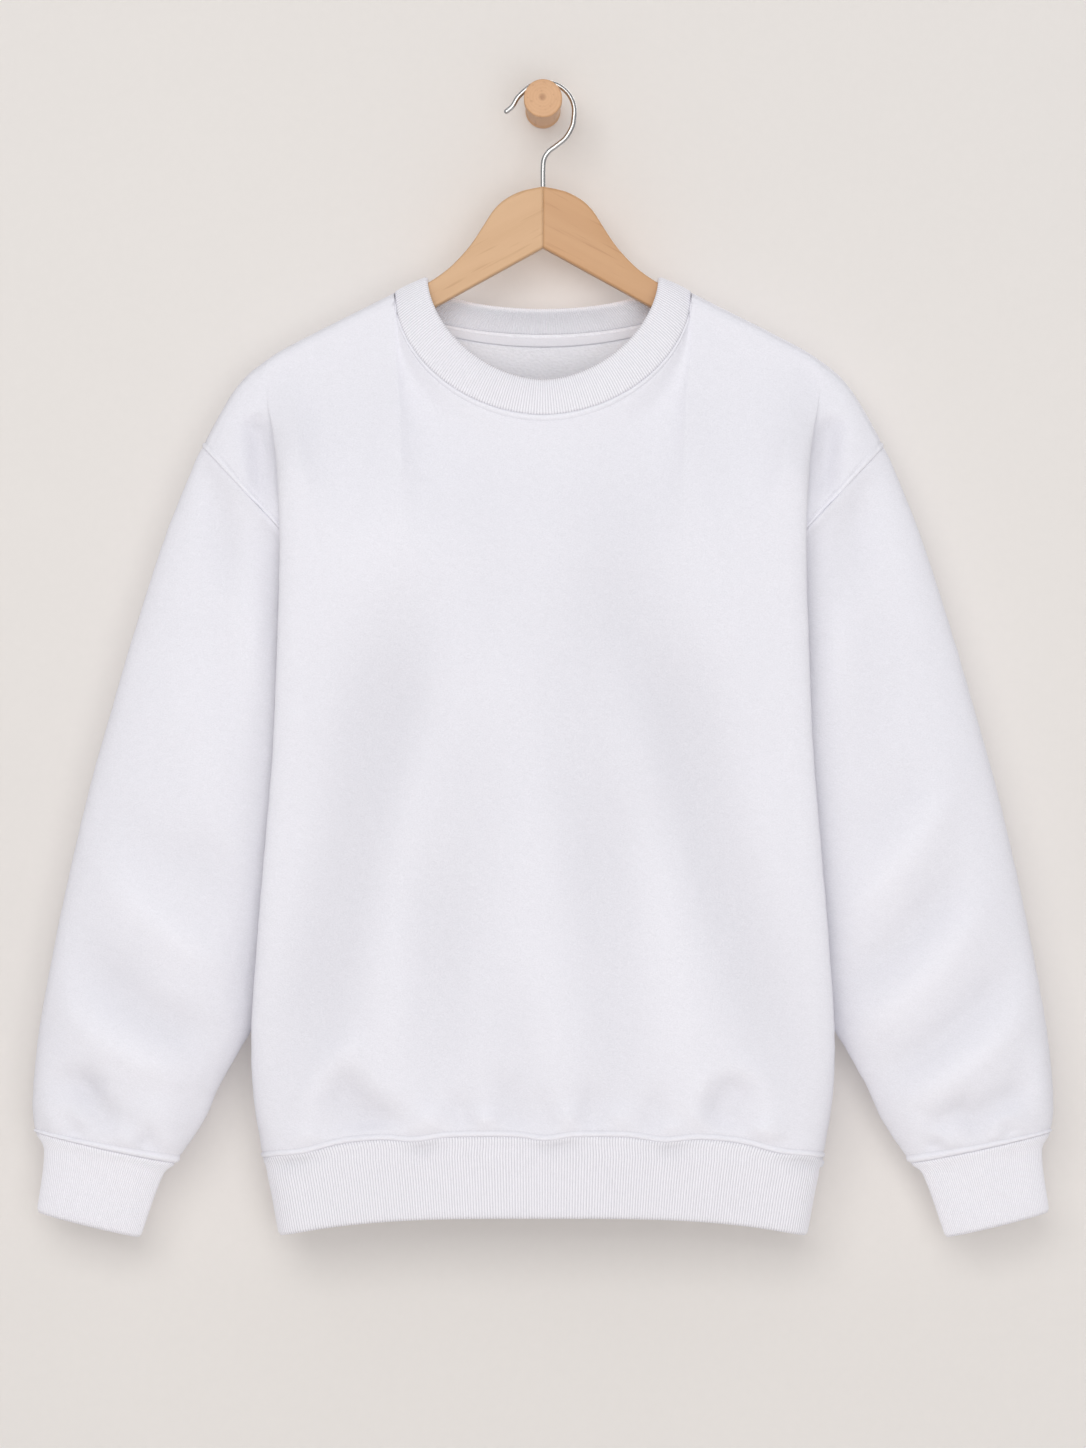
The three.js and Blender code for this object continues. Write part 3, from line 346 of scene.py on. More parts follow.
def beechMaterial(name, turn, stretch, rings=False):
    # long soft bands and fine fibres along the grain, with short dark flecks
    material, nodes, links, shader = nodesOf(name)
    source = nodes.new("ShaderNodeTexCoord").outputs["Object"]
    pale, middle, dark = woods[name]
    band = noiseNode(nodes, links, source, 14, stretch, 3, turn)
    fibre = noiseNode(nodes, links, source, 90, stretch, 5, turn)
    fleck = noiseNode(nodes, links, source, 420, stretch, 1, turn)
    bands = rampNode(nodes, links, band, [(0.3, dark), (0.5, middle), (0.72, pale)])
    fibres = rampNode(nodes, links, fibre, [(0.35, middle), (0.65, pale)])
    base = mixNode(nodes, links, bands, fibres, 0.55)
    if rings:
        # growth rings and the small dark pith at the centre of the end grain
        mapping = nodes.new("ShaderNodeMapping")
        mapping.inputs["Scale"].default_value = (1, 0.02, 1)
        mapping.inputs["Location"].default_value = (0.0004, 0, -0.0008)
        links.new(source, mapping.inputs["Vector"])
        wave = nodes.new("ShaderNodeTexWave")
        wave.wave_type = "RINGS"
        wave.rings_direction = "SPHERICAL"
        wave.inputs["Scale"].default_value = 130
        wave.inputs["Distortion"].default_value = 1.6
        wave.inputs["Detail"].default_value = 3
        wave.inputs["Detail Scale"].default_value = 1.2
        links.new(mapping.outputs["Vector"], wave.inputs["Vector"])
        ringed = rampNode(nodes, links, wave.outputs["Fac"], [(0.0, middle), (1.0, pale)])
        base = mixNode(nodes, links, base, ringed, 0.4)
        length = nodes.new("ShaderNodeVectorMath")
        length.operation = "LENGTH"
        links.new(mapping.outputs["Vector"], length.inputs[0])
        pith = rampNode(nodes, links, length.outputs["Value"], [(0.0006, (0.42, 0.3, 0.22)), (0.0016, (1, 1, 1))])
        base = mixNode(nodes, links, base, pith, 0.9, "MULTIPLY")
    flecks = rampNode(nodes, links, fleck, [(0.26, (0.78, 0.70, 0.64)), (0.38, (1, 1, 1))])
    base = mixNode(nodes, links, base, flecks, 0.5, "MULTIPLY")
    links.new(base, shader.inputs["Base Color"])
    shader.inputs["Roughness"].default_value = 0.48
    shader.inputs["Specular IOR Level"].default_value = 0.35
    shader.inputs["Coat Weight"].default_value = 0.12
    shader.inputs["Coat Roughness"].default_value = 0.35
    links.new(bumpNode(nodes, links, fibre, 0.00012, 0.5), shader.inputs["Normal"])
    return material


def steelMaterial():
    # drawn wire: bright, with fine lengthwise marks
    material, nodes, links, shader = nodesOf("polishedSteel")
    source = nodes.new("ShaderNodeTexCoord").outputs["Object"]
    marks = noiseNode(nodes, links, source, 900, (1, 1, 0.15), 3)
    links.new(rampNode(nodes, links, marks, [(0.2, (0.40, 0.395, 0.39)), (0.8, (0.54, 0.535, 0.53))]),
              shader.inputs["Base Color"])
    shader.inputs["Metallic"].default_value = 1
    shader.inputs["Roughness"].default_value = 0.24
    links.new(bumpNode(nodes, links, marks, 0.00003, 0.3), shader.inputs["Normal"])
    return material


fleeceFace = clothMaterial("fleeceFace")
fleeceInside = clothMaterial("fleeceInside")
ribKnit = clothMaterial("ribKnit")
neckTwill = clothMaterial("neckTwill")
sewingThread = clothMaterial("sewingThread")
armTurn = math.radians(28.5)     # the arms' slope: the grain follows it
beechArmRight = beechMaterial("beechArmRight", (0, -armTurn, 0), (0.06, 1, 1))
beechArmLeft = beechMaterial("beechArmLeft", (0, armTurn, 0), (0.06, 1, 1))
beechPeg = beechMaterial("beechPeg", (0, 0, 0), (1, 0.08, 1), rings=True)
polishedSteel = steelMaterial()
print("materials made")


# Body panels

neck = {
    "front": {
        "seam": {"half": 112.9, "top": -148.2, "drop": 94.5, "cut": 1.9, "out": 30, "plan": 0.7},
        "free": {"half": 87.8, "top": -136.4, "drop": 79, "cut": 1.8, "out": 26, "plan": 0.4},
    },
    "back": {
        "seam": {"half": 112.9, "top": -148.2, "drop": 28.6, "cut": 2, "out": 32, "plan": 0.7},
        "free": {"half": 87.8, "top": -136.4, "drop": 21.4, "cut": 2, "out": 22, "plan": 0.4},
    },
}
shoulderLine = {   # from the neck point over the hanger's tip to the shoulder point
    "x": [112.9, 138.7, 169.1, 198, 212, 224, 234.5, 244.5, 252.5, 258.8],
    "z": [-148.2, -161.1, -176.3, -191.5, -200.6, -210.2, -222.4, -238.5, -253.3, -265.2],
}
shoulderPoint = (258.8, -265.2)
underarmPoint = (120.5, -411.9)
armhole = {"half": 100.8, "out": 22, "innerRound": 1.6, "outerRound": 2.3}
underarmHeight = 0.65
frontRows = {   # by height from the hem seam (v 0) to the top edge (v 1)
    "v": [0, 0.08, 0.16, 0.25, 0.38, 0.51, 0.65, 0.78, 0.87, 0.91, 0.95, 1],
    "centre": [34, 38, 40, 42, 44, 45, 45, 43, 41, 40.5, 40, 40],     # stand-off at the middle
    "side": [27, 33, 36, 38, 40, 41, 42, 42, 42, 41, 40, 38],         # and beside the hanging fold
    "foldX": [212.5, 219.2, 220, 216.5, 210, 203.5, 200, 198.3, 201.2, 204.5, 208.5, 210],
    "run": [26, 24, 22, 20, 18, 18, 18, 18, 18, 18, 18, 18],          # width of the fold's round
    "turn": [21, 15, 11, 9, 8, 8, 8, 8, 8, 5, 1.5, 0],                # depth of that round
    "edgeX": [213, 217, 209, 187, 162.5, 136, 120.5, 120.5, 120.5, 120.5, 120.5, 120.5],
    "dip": [2, 5, 7, 8, 8, 7, 7, 8, 20, 12, 0, 0],                    # way from the fold to the seam
    "lip": [2, 5, 9, 12, 14, 18, 22, 9, 2, 1, 0, 0],
}
backRows = {
    "v": frontRows["v"],
    "centre": [38, 40, 42, 43, 44, 44, 43, 42, 40, 39, 38, 38],
    "side": [30, 35, 38, 39, 40, 40, 40, 40, 38, 37, 36, 36],
    "foldX": [211, 215, 215, 211, 205, 198, 196, 196, 199, 203, 207.5, 210],
    "run": [28, 26, 24, 22, 20, 20, 20, 20, 20, 20, 20, 20],
    "turn": [24, 19, 13, 10, 8, 8, 8, 8, 7, 4, 1.5, 0],
    "edgeX": frontRows["edgeX"],
    "dip": [2, 5, 7, 8, 8, 7, 7, 7, 12, 7, 0, 0],
    "lip": frontRows["lip"],
}
share = {"neck": 0.42, "flat": 0.66, "fold": 0.76}    # of the columns from middle to edge
shoulderRoll = 10
neckFall = 100
shoulderFall = {"at": [0, 0.45, 0.75, 1], "down": [175, 172, 145, 95]}
hemSeam = {"middle": -786.3, "cornerDrop": 18, "half": 213, "curve": 3.6}
hemGathers = [(-180, 3.4, 20), (-97, 3.2, 17), (2, 3.2, 15), (91, 3.6, 18), (178, 3.6, 22)]
panelGrid = {"neck": 52, "flat": 26, "fold": 12, "tuck": 26, "rows": 178, "hemZone": 24, "topZone": 26}
zoneShare = {"hem": 0.122, "top": 0.132}              # of the rows, spent on those zones

# columns: x0 z0 x1 z1 height width bend lean fade, in millimetres, seen from the front
frontFolds = [
    (-103, -398, -186, -738, -7, 27, 0, 0.1, 0.22),
    (76, -400, 190, -738, -6.5, 27, 0, -0.1, 0.22),
    (-88, -568, -78, -744, -3, 20, 0, 0, 0.3), (43, -534, 53, -762, -3.5, 22, 0, 0, 0.3),
    (-28, -670, -13, -776, -2.2, 15, 0, 0, 0.3), (-173, -534, -199, -727, 2.5, 22, 0, 0, 0.3),
    (-91, -511, -114, -727, 2.5, 24, 0, 0, 0.3), (149, -511, 197, -727, 2.5, 22, 0, 0, 0.3),
    (86, -579, 114, -744, 2.5, 24, 0, 0, 0.3), (0, -534, 12, -744, 2, 30, 0, 0, 0.3),
    (-152, -742, -119, -780, -5.5, 17, 5, 0, 0.3), (-179, -776, -148, -715, 2.5, 11, -6, 0, 0.3),
    (-148, -719, -102, -762, 2.2, 11, 6, 0, 0.3), (131, -776, 151, -744, -5, 15, -4, 0, 0.3),
    (171, -784, 149, -730, 2.2, 11, 5, 0, 0.3), (114, -776, 134, -736, 2.2, 10, -5, 0, 0.3),
    (-65, -756, -57, -786, -2.6, 8, 0, 0, 0.35), (-31, -744, -18, -786, -2.4, 9, 0, 0, 0.35),
    (37, -750, 35, -786, -2.6, 9, 0, 0, 0.35), (86, -753, 81, -786, -2.2, 8, 0, 0, 0.35),
    (0, -756, 7, -786, -1.8, 8, 0, 0, 0.35), (-88, -764, -84, -787, 3, 11, 0, 0, 0.4),
    (-44, -767, -44, -786, 2.6, 9, 0, 0, 0.4), (57, -764, 62, -786, 2.6, 10, 0, 0, 0.4),
    (20, -764, 19, -786, 2.4, 10, 0, 0, 0.4), (97, -776, 95, -789, 1.8, 8, 0, 0, 0.4),
    (163, -776, 171, -791, 2.6, 11, 0, 0, 0.4), (-171, -784, -188, -797, 2.2, 10, 0, 0, 0.4),
    (-79, -294, -154, -363, 1.6, 40, 0, 0, 0.4), (74, -288, 57, -402, -2, 26, 0, 0, 0.4),
    (-57, -288, -34, -402, -1.5, 26, 0, 0, 0.4), (36, -334, 28, -635, -3, 30, 0, 0, 0.35),
    (-58, -489, -76, -678, -3, 30, 0, 0, 0.35),
]
shoulderTrough = [(225, -218, 213, -306, -8, 8, 3, 0, 0.35)]    # beside the body's fold, on each side
backFolds = [
    (-92, -410, -186, -755, -6, 27, 4, 0, 0.22), (104, -400, 184, -745, -6, 27, -3, 0, 0.22),
    (-18, -470, -30, -740, -3, 26, 0, 0, 0.3), (62, -610, 70, -760, -3, 22, 0, 0, 0.3),
    (-168, -560, -200, -730, 2.4, 22, 0, 0, 0.3), (98, -540, 112, -730, 2.4, 24, 0, 0, 0.3),
    (-96, -560, -108, -740, 2.2, 22, 0, 0, 0.3), (30, -560, 22, -750, 1.8, 26, 0, 0, 0.3),
    (-150, -748, -128, -782, -4.5, 15, 4, 0, 0.3), (-60, -750, -52, -786, -2.6, 9, 0, 0, 0.35),
    (8, -752, 14, -786, -2.4, 9, 0, 0, 0.35), (72, -748, 66, -786, -2.6, 9, 0, 0, 0.35),
    (140, -772, 156, -742, -4.5, 14, -4, 0, 0.3), (-92, -764, -88, -787, 2.8, 11, 0, 0, 0.4),
    (-22, -766, -20, -786, 2.4, 10, 0, 0, 0.4), (40, -766, 42, -786, 2.6, 10, 0, 0, 0.4),
    (104, -770, 104, -789, 2.2, 10, 0, 0, 0.4), (-60, -260, -66, -380, -1.8, 26, 0, 0, 0.4),
    (50, -250, 66, -390, -1.8, 30, 0, 0, 0.4),
]
panels = {
    "front": {"rows": frontRows, "neck": neck["front"], "folds": frontFolds, "facing": -1, "seed": 11},
    "back": {"rows": backRows, "neck": neck["back"], "folds": backFolds, "facing": 1, "seed": 23},
}


def droop(seam, x):
    return seam["middle"] - seam["cornerDrop"] * np.abs(x / seam["half"]) ** seam["curve"]


def hemSeamHeight(x):
    # an even curve with a dip at each gather
    height = droop(hemSeam, x)
    for place, dip, width in hemGathers:
        height = height - dip * bell(x - place, width)
    return height


def neckPoint(line, turn):
    # an oval line, squarer or rounder by its powers; turn is -1 at one shoulder and 1 at the other
    angle = np.asarray(turn, float) * math.pi / 2
    across = np.abs(np.sin(angle)) ** (2 / line["cut"])
    down = np.clip(np.cos(angle), 0, None)
    x = np.sign(turn) * line["half"] * across
    return x, line["top"] - line["drop"] * down ** (2 / line["cut"]), line["out"] * down ** line["plan"]


def armholePoint(along):
    # the armhole ring from the underarm (0) to the shoulder point (1)
    c = np.clip(2 * along - 1, -1, 1)
    power = np.where(c < 0, armhole["innerRound"], armhole["outerRound"])
    out = armhole["out"] * (1 - np.abs(c) ** power) ** (1 / power)
    x = mix(underarmPoint[0], shoulderPoint[0], along)
    return x, mix(underarmPoint[1], shoulderPoint[1], along), out


def panelEdge(rows, v):
    # the side seam in the tuck up to the underarm, then the armhole
    foot = hemSeamHeight(hemSeam["half"])
    low = v <= underarmHeight
    x, z, w = armholePoint(np.clip((v - underarmHeight) / (1 - underarmHeight), 0, 1))
    x = np.where(low, tableValue(rows, "edgeX", v), x)
    return x, np.where(low, mix(foot, underarmPoint[1], v / underarmHeight), z), np.where(low, 0, w)


def flatHalf(rows, v):
    return tableValue(rows, "foldX", v) - tableValue(rows, "run", v)


def rowHeight(r, tall):
    # even rows, closer together over the hem seam and under the top edge
    foot, head = panelGrid["hemZone"], panelGrid["topZone"]
    low, high = zoneShare["hem"], 1 - zoneShare["top"]
    middle = foot + (r - low) / (high - low) * (tall - foot - head)
    return np.where(r < low, r / low * foot, np.where(r > high, tall - (1 - r) / (1 - high) * head, middle))


def bodyPoint(panel, a, side, r):
    # the flat front and the fold's round, for columns up to share fold: a straight blend of the
    # hem seam and the top edge, standing off the hanger as the tables say, plus the folds
    rows = panel["rows"]
    around = np.clip((a - share["flat"]) / (share["fold"] - share["flat"]), 0, 1) * math.pi / 2
    level = np.minimum(a, share["flat"])
    onShoulder = np.clip((level - share["neck"]) / (share["flat"] - share["neck"]), 0, 1)
    nx, nz, nw = neckPoint(panel["neck"]["seam"], np.clip(level / share["neck"], 0, 1))
    sx = mix(panel["neck"]["seam"]["half"], flatHalf(rows, 1), onShoulder)
    onNeck = level <= share["neck"]
    topX = np.where(onNeck, nx, sx)
    runTop = tableValue(rows, "run", 1) * np.sin(around)
    topZ = np.where(onNeck, nz, tableValue(shoulderLine, "z", sx + runTop, "x"))
    topW = np.where(onNeck, nw, 0)
    footX = flatHalf(rows, 0) * level / share["flat"] + tableValue(rows, "run", 0) * np.sin(around)
    footZ = hemSeamHeight(side * footX)
    tall = topZ - footZ
    height = rowHeight(r, tall)
    v, down = height / tall, tall - height
    spread = mix(level / share["flat"], topX / flatHalf(rows, 1), v * v)
    x = flatHalf(rows, v) * spread + tableValue(rows, "run", v) * np.sin(around)
    flat = mix(tableValue(rows, "centre", v), tableValue(rows, "side", v), spread**2)
    flat = flat - tableValue(rows, "turn", v) * (1 - np.cos(around))
    z = footZ + height
    roll = np.maximum(0, shoulderRoll - topW)
    curl = np.sqrt(1 - (1 - np.clip(down / shoulderRoll, 0, 1)) ** 2)
    # beside the neck the cloth leaves at the height where the roll ends below the neck point
    drop = np.where(a < share["neck"], panel["neck"]["seam"]["top"] - topZ, 0)
    fromMiddle = np.clip(topX / panel["neck"]["seam"]["half"], 0, 1) ** 2
    rounder = (1 - fromMiddle) ** 1.5
    reach = np.where(a < share["neck"], mix(shoulderFall["down"][0], neckFall, rounder),
                     tableValue(shoulderFall, "down", onShoulder, "at"))
    start = (drop**3 + shoulderRoll**3) ** (1 / 3) - drop
    leave = smooth((down - start) / reach)
    creases = 1.6 * foldHeight(panel["folds"], side * x, z) + 0.5 * softWaves(side * x, z, 90, panel["seed"])
    creases = creases * smooth(down / 60) * smooth(height / 16)
    # the neck line's own stand-off soon gives way to a rounder one
    full = panel["neck"]["seam"]["out"] - shoulderRoll
    stand = mix(topW + roll * curl, shoulderRoll + full * rounder, smooth(down / 32))
    return x, z, v, stand + (flat - stand) * leave + creases


def tuckPoint(panel, t, side, r):
    # from the fold back to the side seam or out to the armhole, on a cubic curve
    rows = panel["rows"]
    foldX, foldZ, v, foldW = bodyPoint(panel, np.full_like(t, share["fold"]), side, r)
    edgeX, edgeZ, edgeW = panelEdge(rows, v)
    above = smooth((v - underarmHeight) / 0.07)
    turnX = mix(edgeX, foldX, 0.35 * above)
    s = 1 - t
    c0, c1, c2, c3 = s**3, 3 * s * s * t, 3 * s * t * t, t**3
    x = (c0 + c1) * foldX + c2 * turnX + c3 * edgeX
    w = c0 * foldW + c1 * (foldW - tableValue(rows, "dip", v))
    w = w + c2 * (edgeW + tableValue(rows, "lip", v)) + c3 * edgeW
    # the top row follows the shoulder line, the rows below it less and less
    topFold = tableValue(rows, "foldX", 1)
    topX = (c0 + c1) * topFold + c2 * mix(shoulderPoint[0], topFold, 0.35) + c3 * shoulderPoint[0]
    straight = mix(tableValue(shoulderLine, "z", topFold, "x"), shoulderPoint[1], t)
    rise = tableValue(shoulderLine, "z", topX, "x") - straight
    lift = np.clip((v - underarmHeight) / (1 - underarmHeight), 0, 1) ** 6
    return x, mix(foldZ, edgeZ, t) + rise * lift, v, w


def panelColumns():
    even = np.linspace(0, 1, panelGrid["neck"] + 1)[1:]
    neckTurns = mix(even, np.sin(even * math.pi / 2), 0.6)
    tuck = 1 - (1 - np.linspace(0, 1, panelGrid["tuck"] + 1)[1:]) ** 1.5
    half = np.concatenate([
        share["neck"] * neckTurns,
        mix(share["neck"], share["flat"], np.linspace(0, 1, panelGrid["flat"] + 1)[1:]),
        mix(share["flat"], share["fold"], np.linspace(0, 1, panelGrid["fold"] + 1)[1:]),
        mix(share["fold"], 1, tuck),
    ])
    return np.concatenate([-half[::-1], [0], half])


def seamRelief(distance, ridge=0.9):
    # beside a seam the cloth rolls in, then rises over the allowance, then dips at the stitches
    roll = -0.25 * bell(distance, 0.5)
    return roll + ridge * bell(distance - 2.0, 1.35) - 0.45 * bell(distance - 4.7, 0.9)


def seamShade(distance):
    # painted shade at the seam itself, a painted highlight on the ridge, painted shade again in the dip of the
    # stitches
    return 0.1 * bell(distance, 0.4) - 0.3 * bell(distance - 2.0, 1.3) + 0.3 * bell(distance - 4.6, 0.8)


def buildPanel(name, panel):
    u = panelColumns()[None, :]
    r = np.linspace(0, 1, panelGrid["rows"])[:, None]
    a, side = np.abs(u), np.where(u < 0, -1.0, 1.0)
    onBody = a[0] <= share["fold"] + 1e-9
    shape = (r.size, u.size)
    x, z, v, w = (np.empty(shape) for _ in range(4))
    body = bodyPoint(panel, a[:, onBody], side[:, onBody], r)
    t = (a[:, ~onBody] - share["fold"]) / (1 - share["fold"])
    tuck = tuckPoint(panel, t * np.ones_like(r), side[:, ~onBody], r)
    for full, one, two in zip((x, z, v, w), body, tuck):
        full[:, onBody] = one
        full[:, ~onBody] = two
    facing = panel["facing"]
    trough = foldHeight(shoulderTrough, x, z) * smooth((a - share["flat"]) / 0.08) * smooth((-238 - z) / 14)
    w += trough
    grid = np.stack([side * x, facing * (w + garment["seamGap"] / 2), z], -1)
    normals = softNormals(gridNormals(grid)) * (1 if facing < 0 else -1)
    stepsUp = np.linalg.norm(np.diff(grid, axis=0), axis=2)
    fromHem = np.concatenate([np.zeros((1, u.size)), np.cumsum(stepsUp, 0)])
    fromTop = fromHem[-1] - fromHem
    stepsOut = np.linalg.norm(np.diff(grid, axis=1), axis=2)
    fromLeft = np.concatenate([np.zeros((r.size, 1)), np.cumsum(stepsOut, 1)], 1)
    fromEdge = np.minimum(fromLeft, fromLeft[:, -1:] - fromLeft)
    relief = seamRelief(fromHem, 1.3)
    nearNeck = smooth((share["neck"] - a) / 0.02)
    relief = relief + nearNeck * seamRelief(fromTop, 1.0) + (1 - nearNeck) * 0.35 * bell(fromTop - 9, 1.6)
    onArmhole = smooth((v - underarmHeight - 0.015) / 0.03)
    relief = relief + onArmhole * seamRelief(fromEdge, 1.2) - (1 - onArmhole) * 0.8 * bell(fromEdge, 1.2)
    relief = relief + 0.12 * softWaves(grid[..., 0], grid[..., 2], 16, panel["seed"] + 1)
    # painted shade and highlight in the colour along the hem, armhole and neck seams, painted shade in fold troughs
    # and a painted highlight on fold ridges
    paintedShading = seamShade(fromHem) + onArmhole * seamShade(fromEdge) + nearNeck * seamShade(fromTop)
    creases = foldHeight(panel["folds"], grid[..., 0], grid[..., 2]) * smooth(fromTop / 60)
    creases = creases + trough
    paintedShading = paintedShading - 0.05 * creases * smooth((fromHem - 4) / 8) * smooth((fromEdge - 4) / 6)
    outer = grid + normals * relief[..., None]
    inner = grid - normals * garment["fleece"]
    inner[0, :, 2] = grid[0, :, 2]
    uv = np.stack([side * x, z], -1) / 1000
    sides = [fleeceFace, fleeceInside]
    piece = sheetShell(name, outer, inner, sides, facing > 0, uv, paintedShading)
    panel.update(grid=grid, normals=normals, outer=outer, inner=inner, u=u[0], fromTop=fromTop,
                 fromEdge=fromEdge, fromHem=fromHem, v=v)
    column = int(np.argmin(np.abs(u[0] - share["fold"])))
    panel["foldLine"] = np.stack([x[:, column], z[:, column]], -1)
    return piece


frontPanel = buildPanel("frontPanel", panels["front"])
backPanel = buildPanel("backPanel", panels["back"])
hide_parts("front_panel")
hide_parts("back_panel")
print("body panels made")


# Sleeves

sleeveRows = {   # outer and inner edge seen from the front, and half the depth
    "row": list(range(13)),
    "outerX": [258.8, 267.5, 288, 311.2, 327.9, 343.9, 357.6, 369.7, 380.4, 384.4, 387.2, 387.6, 385.7],
    "outerZ": [-265.2, -284, -336, -408.1, -465.1, -522.1, -579.1, -636.1, -693.1, -721, -750.1, -769.1, -785.5],
    "innerX": [120.5, 129.5, 136, 149, 162.5, 177, 189.6, 202.5, 218.7, 232, 246.6, 258, 279.3],
    "innerZ": [-411.9, -418.2, -449, -497, -538.1, -580.6, -620.9, -661.2, -702.7, -726, -752.4, -777.5, -809.4],
    "out": [22, 18.5, 20, 22.5, 24.5, 26, 26, 26, 27, 27, 26, 24, 18],
}
cuffRows = {
    "row": [0, 0.25, 1],
    "outerX": [385.2, 378.5, 384], "outerZ": [-785.9, -799, -846.5],
    "innerX": [279.8, 289, 306.7], "innerZ": [-809.8, -817.5, -866],
    "out": [17.6, 14.5, 12.5],
}
sleeve = {"around": 164, "along": 184, "backShift": 14}
rightSleeveFolds = [
    (-249, -277, -238, -363, -4, 12, 2, 0, 0.3), (-262, -283, -282, -385, 1.6, 16, 0, 0, 0.3),
    (-228, -345, -216, -454, 2, 14, 0, 0, 0.3), (-285, -408, -250, -534, 1.6, 22, 0, 0, 0.3),
    (-330, -534, -253, -591, -1.6, 15, 4, 0, 0.3), (-333, -588, -246, -656, 4, 14, 4, 0, 0.3),
    (-359, -625, -302, -665, -2, 12, 3, 0, 0.3), (-348, -653, -249, -714, -4.8, 13, 6, 0, 0.28),
    (-373, -679, -262, -744, 4.2, 14, 8, 0, 0.28), (-370, -742, -336, -753, -4, 10, 0, 0, 0.3),
    (-350, -744, -307, -784, -4.8, 10, 6, 0, 0.3), (-382, -762, -364, -784, 2, 9, 0, 0, 0.3),
    (-325, -776, -305, -791, 3.6, 9, 0, 0, 0.35), (-293, -762, -276, -801, 2.6, 12, 0, 0, 0.3),
    (-303, -784, -290, -807, -3, 6, 0, 0, 0.35), (-364, -770, -350, -789, -1.8, 7, 0, 0, 0.35),
    (-270, -556, -228, -608, -1.8, 14, 0, 0, 0.3),
]
leftSleeveFolds = [
    (240, -288, 226, -385, -3.6, 13, -2, 0, 0.3), (265, -283, 285, -385, 1.6, 16, 0, 0, 0.3),
    (228, -351, 220, -454, 2, 13, 0, 0, 0.3), (257, -385, 245, -511, -1.6, 18, 0, 0, 0.3),
    (308, -525, 231, -616, 4, 14, -5, 0, 0.28), (285, -511, 228, -556, -1.8, 14, -3, 0, 0.3),
    (311, -591, 231, -670, -4.4, 12, -5, 0, 0.28), (334, -613, 235, -711, 3.8, 13, -6, 0, 0.28),
    (354, -659, 257, -742, -4.6, 12, -6, 0, 0.28), (371, -687, 263, -766, 4.2, 13, -7, 0, 0.28),
    (365, -747, 308, -779, -4.8, 10, -5, 0, 0.3), (322, -759, 294, -784, -2.6, 8, 0, 0, 0.3),
    (317, -776, 300, -793, 3, 9, 0, 0, 0.35), (359, -770, 337, -784, 3, 10, 0, 0, 0.35),
    (283, -776, 277, -801, 2.4, 10, 0, 0, 0.3), (298, -790, 290, -807, -3, 6, 0, 0, 0.35),
    (348, -776, 354, -787, -2.4, 7, 0, 0, 0.35), (379, -716, 381, -773, 2, 10, 0, 0, 0.3),
]


def ovalRings(rows, at, angle, side, inset=0):
    # an oval across the line from the inner to the outer edge, rounder at the outer edge
    values = {k: tableValue(rows, k, at, "row") for k in ("outerX", "outerZ", "innerX", "innerZ", "out")}
    halfX = (values["outerX"] - values["innerX"]) / 2
    halfZ = (values["outerZ"] - values["innerZ"]) / 2
    half = np.hypot(halfX, halfZ)
    c, s = np.cos(angle), np.sin(angle)
    power = np.where(c < 0, armhole["innerRound"], armhole["outerRound"])
    across = np.sign(c) * np.abs(c) ** (2 / power) * (1 - inset / half)
    out = np.abs(s) ** (2 / power) * (values["out"] - inset)
    x = (values["outerX"] + values["innerX"]) / 2 + across * halfX
    z = (values["outerZ"] + values["innerZ"]) / 2 + across * halfZ
    return np.stack([side * x, -np.sign(s) * out, z + 0 * out], -1)


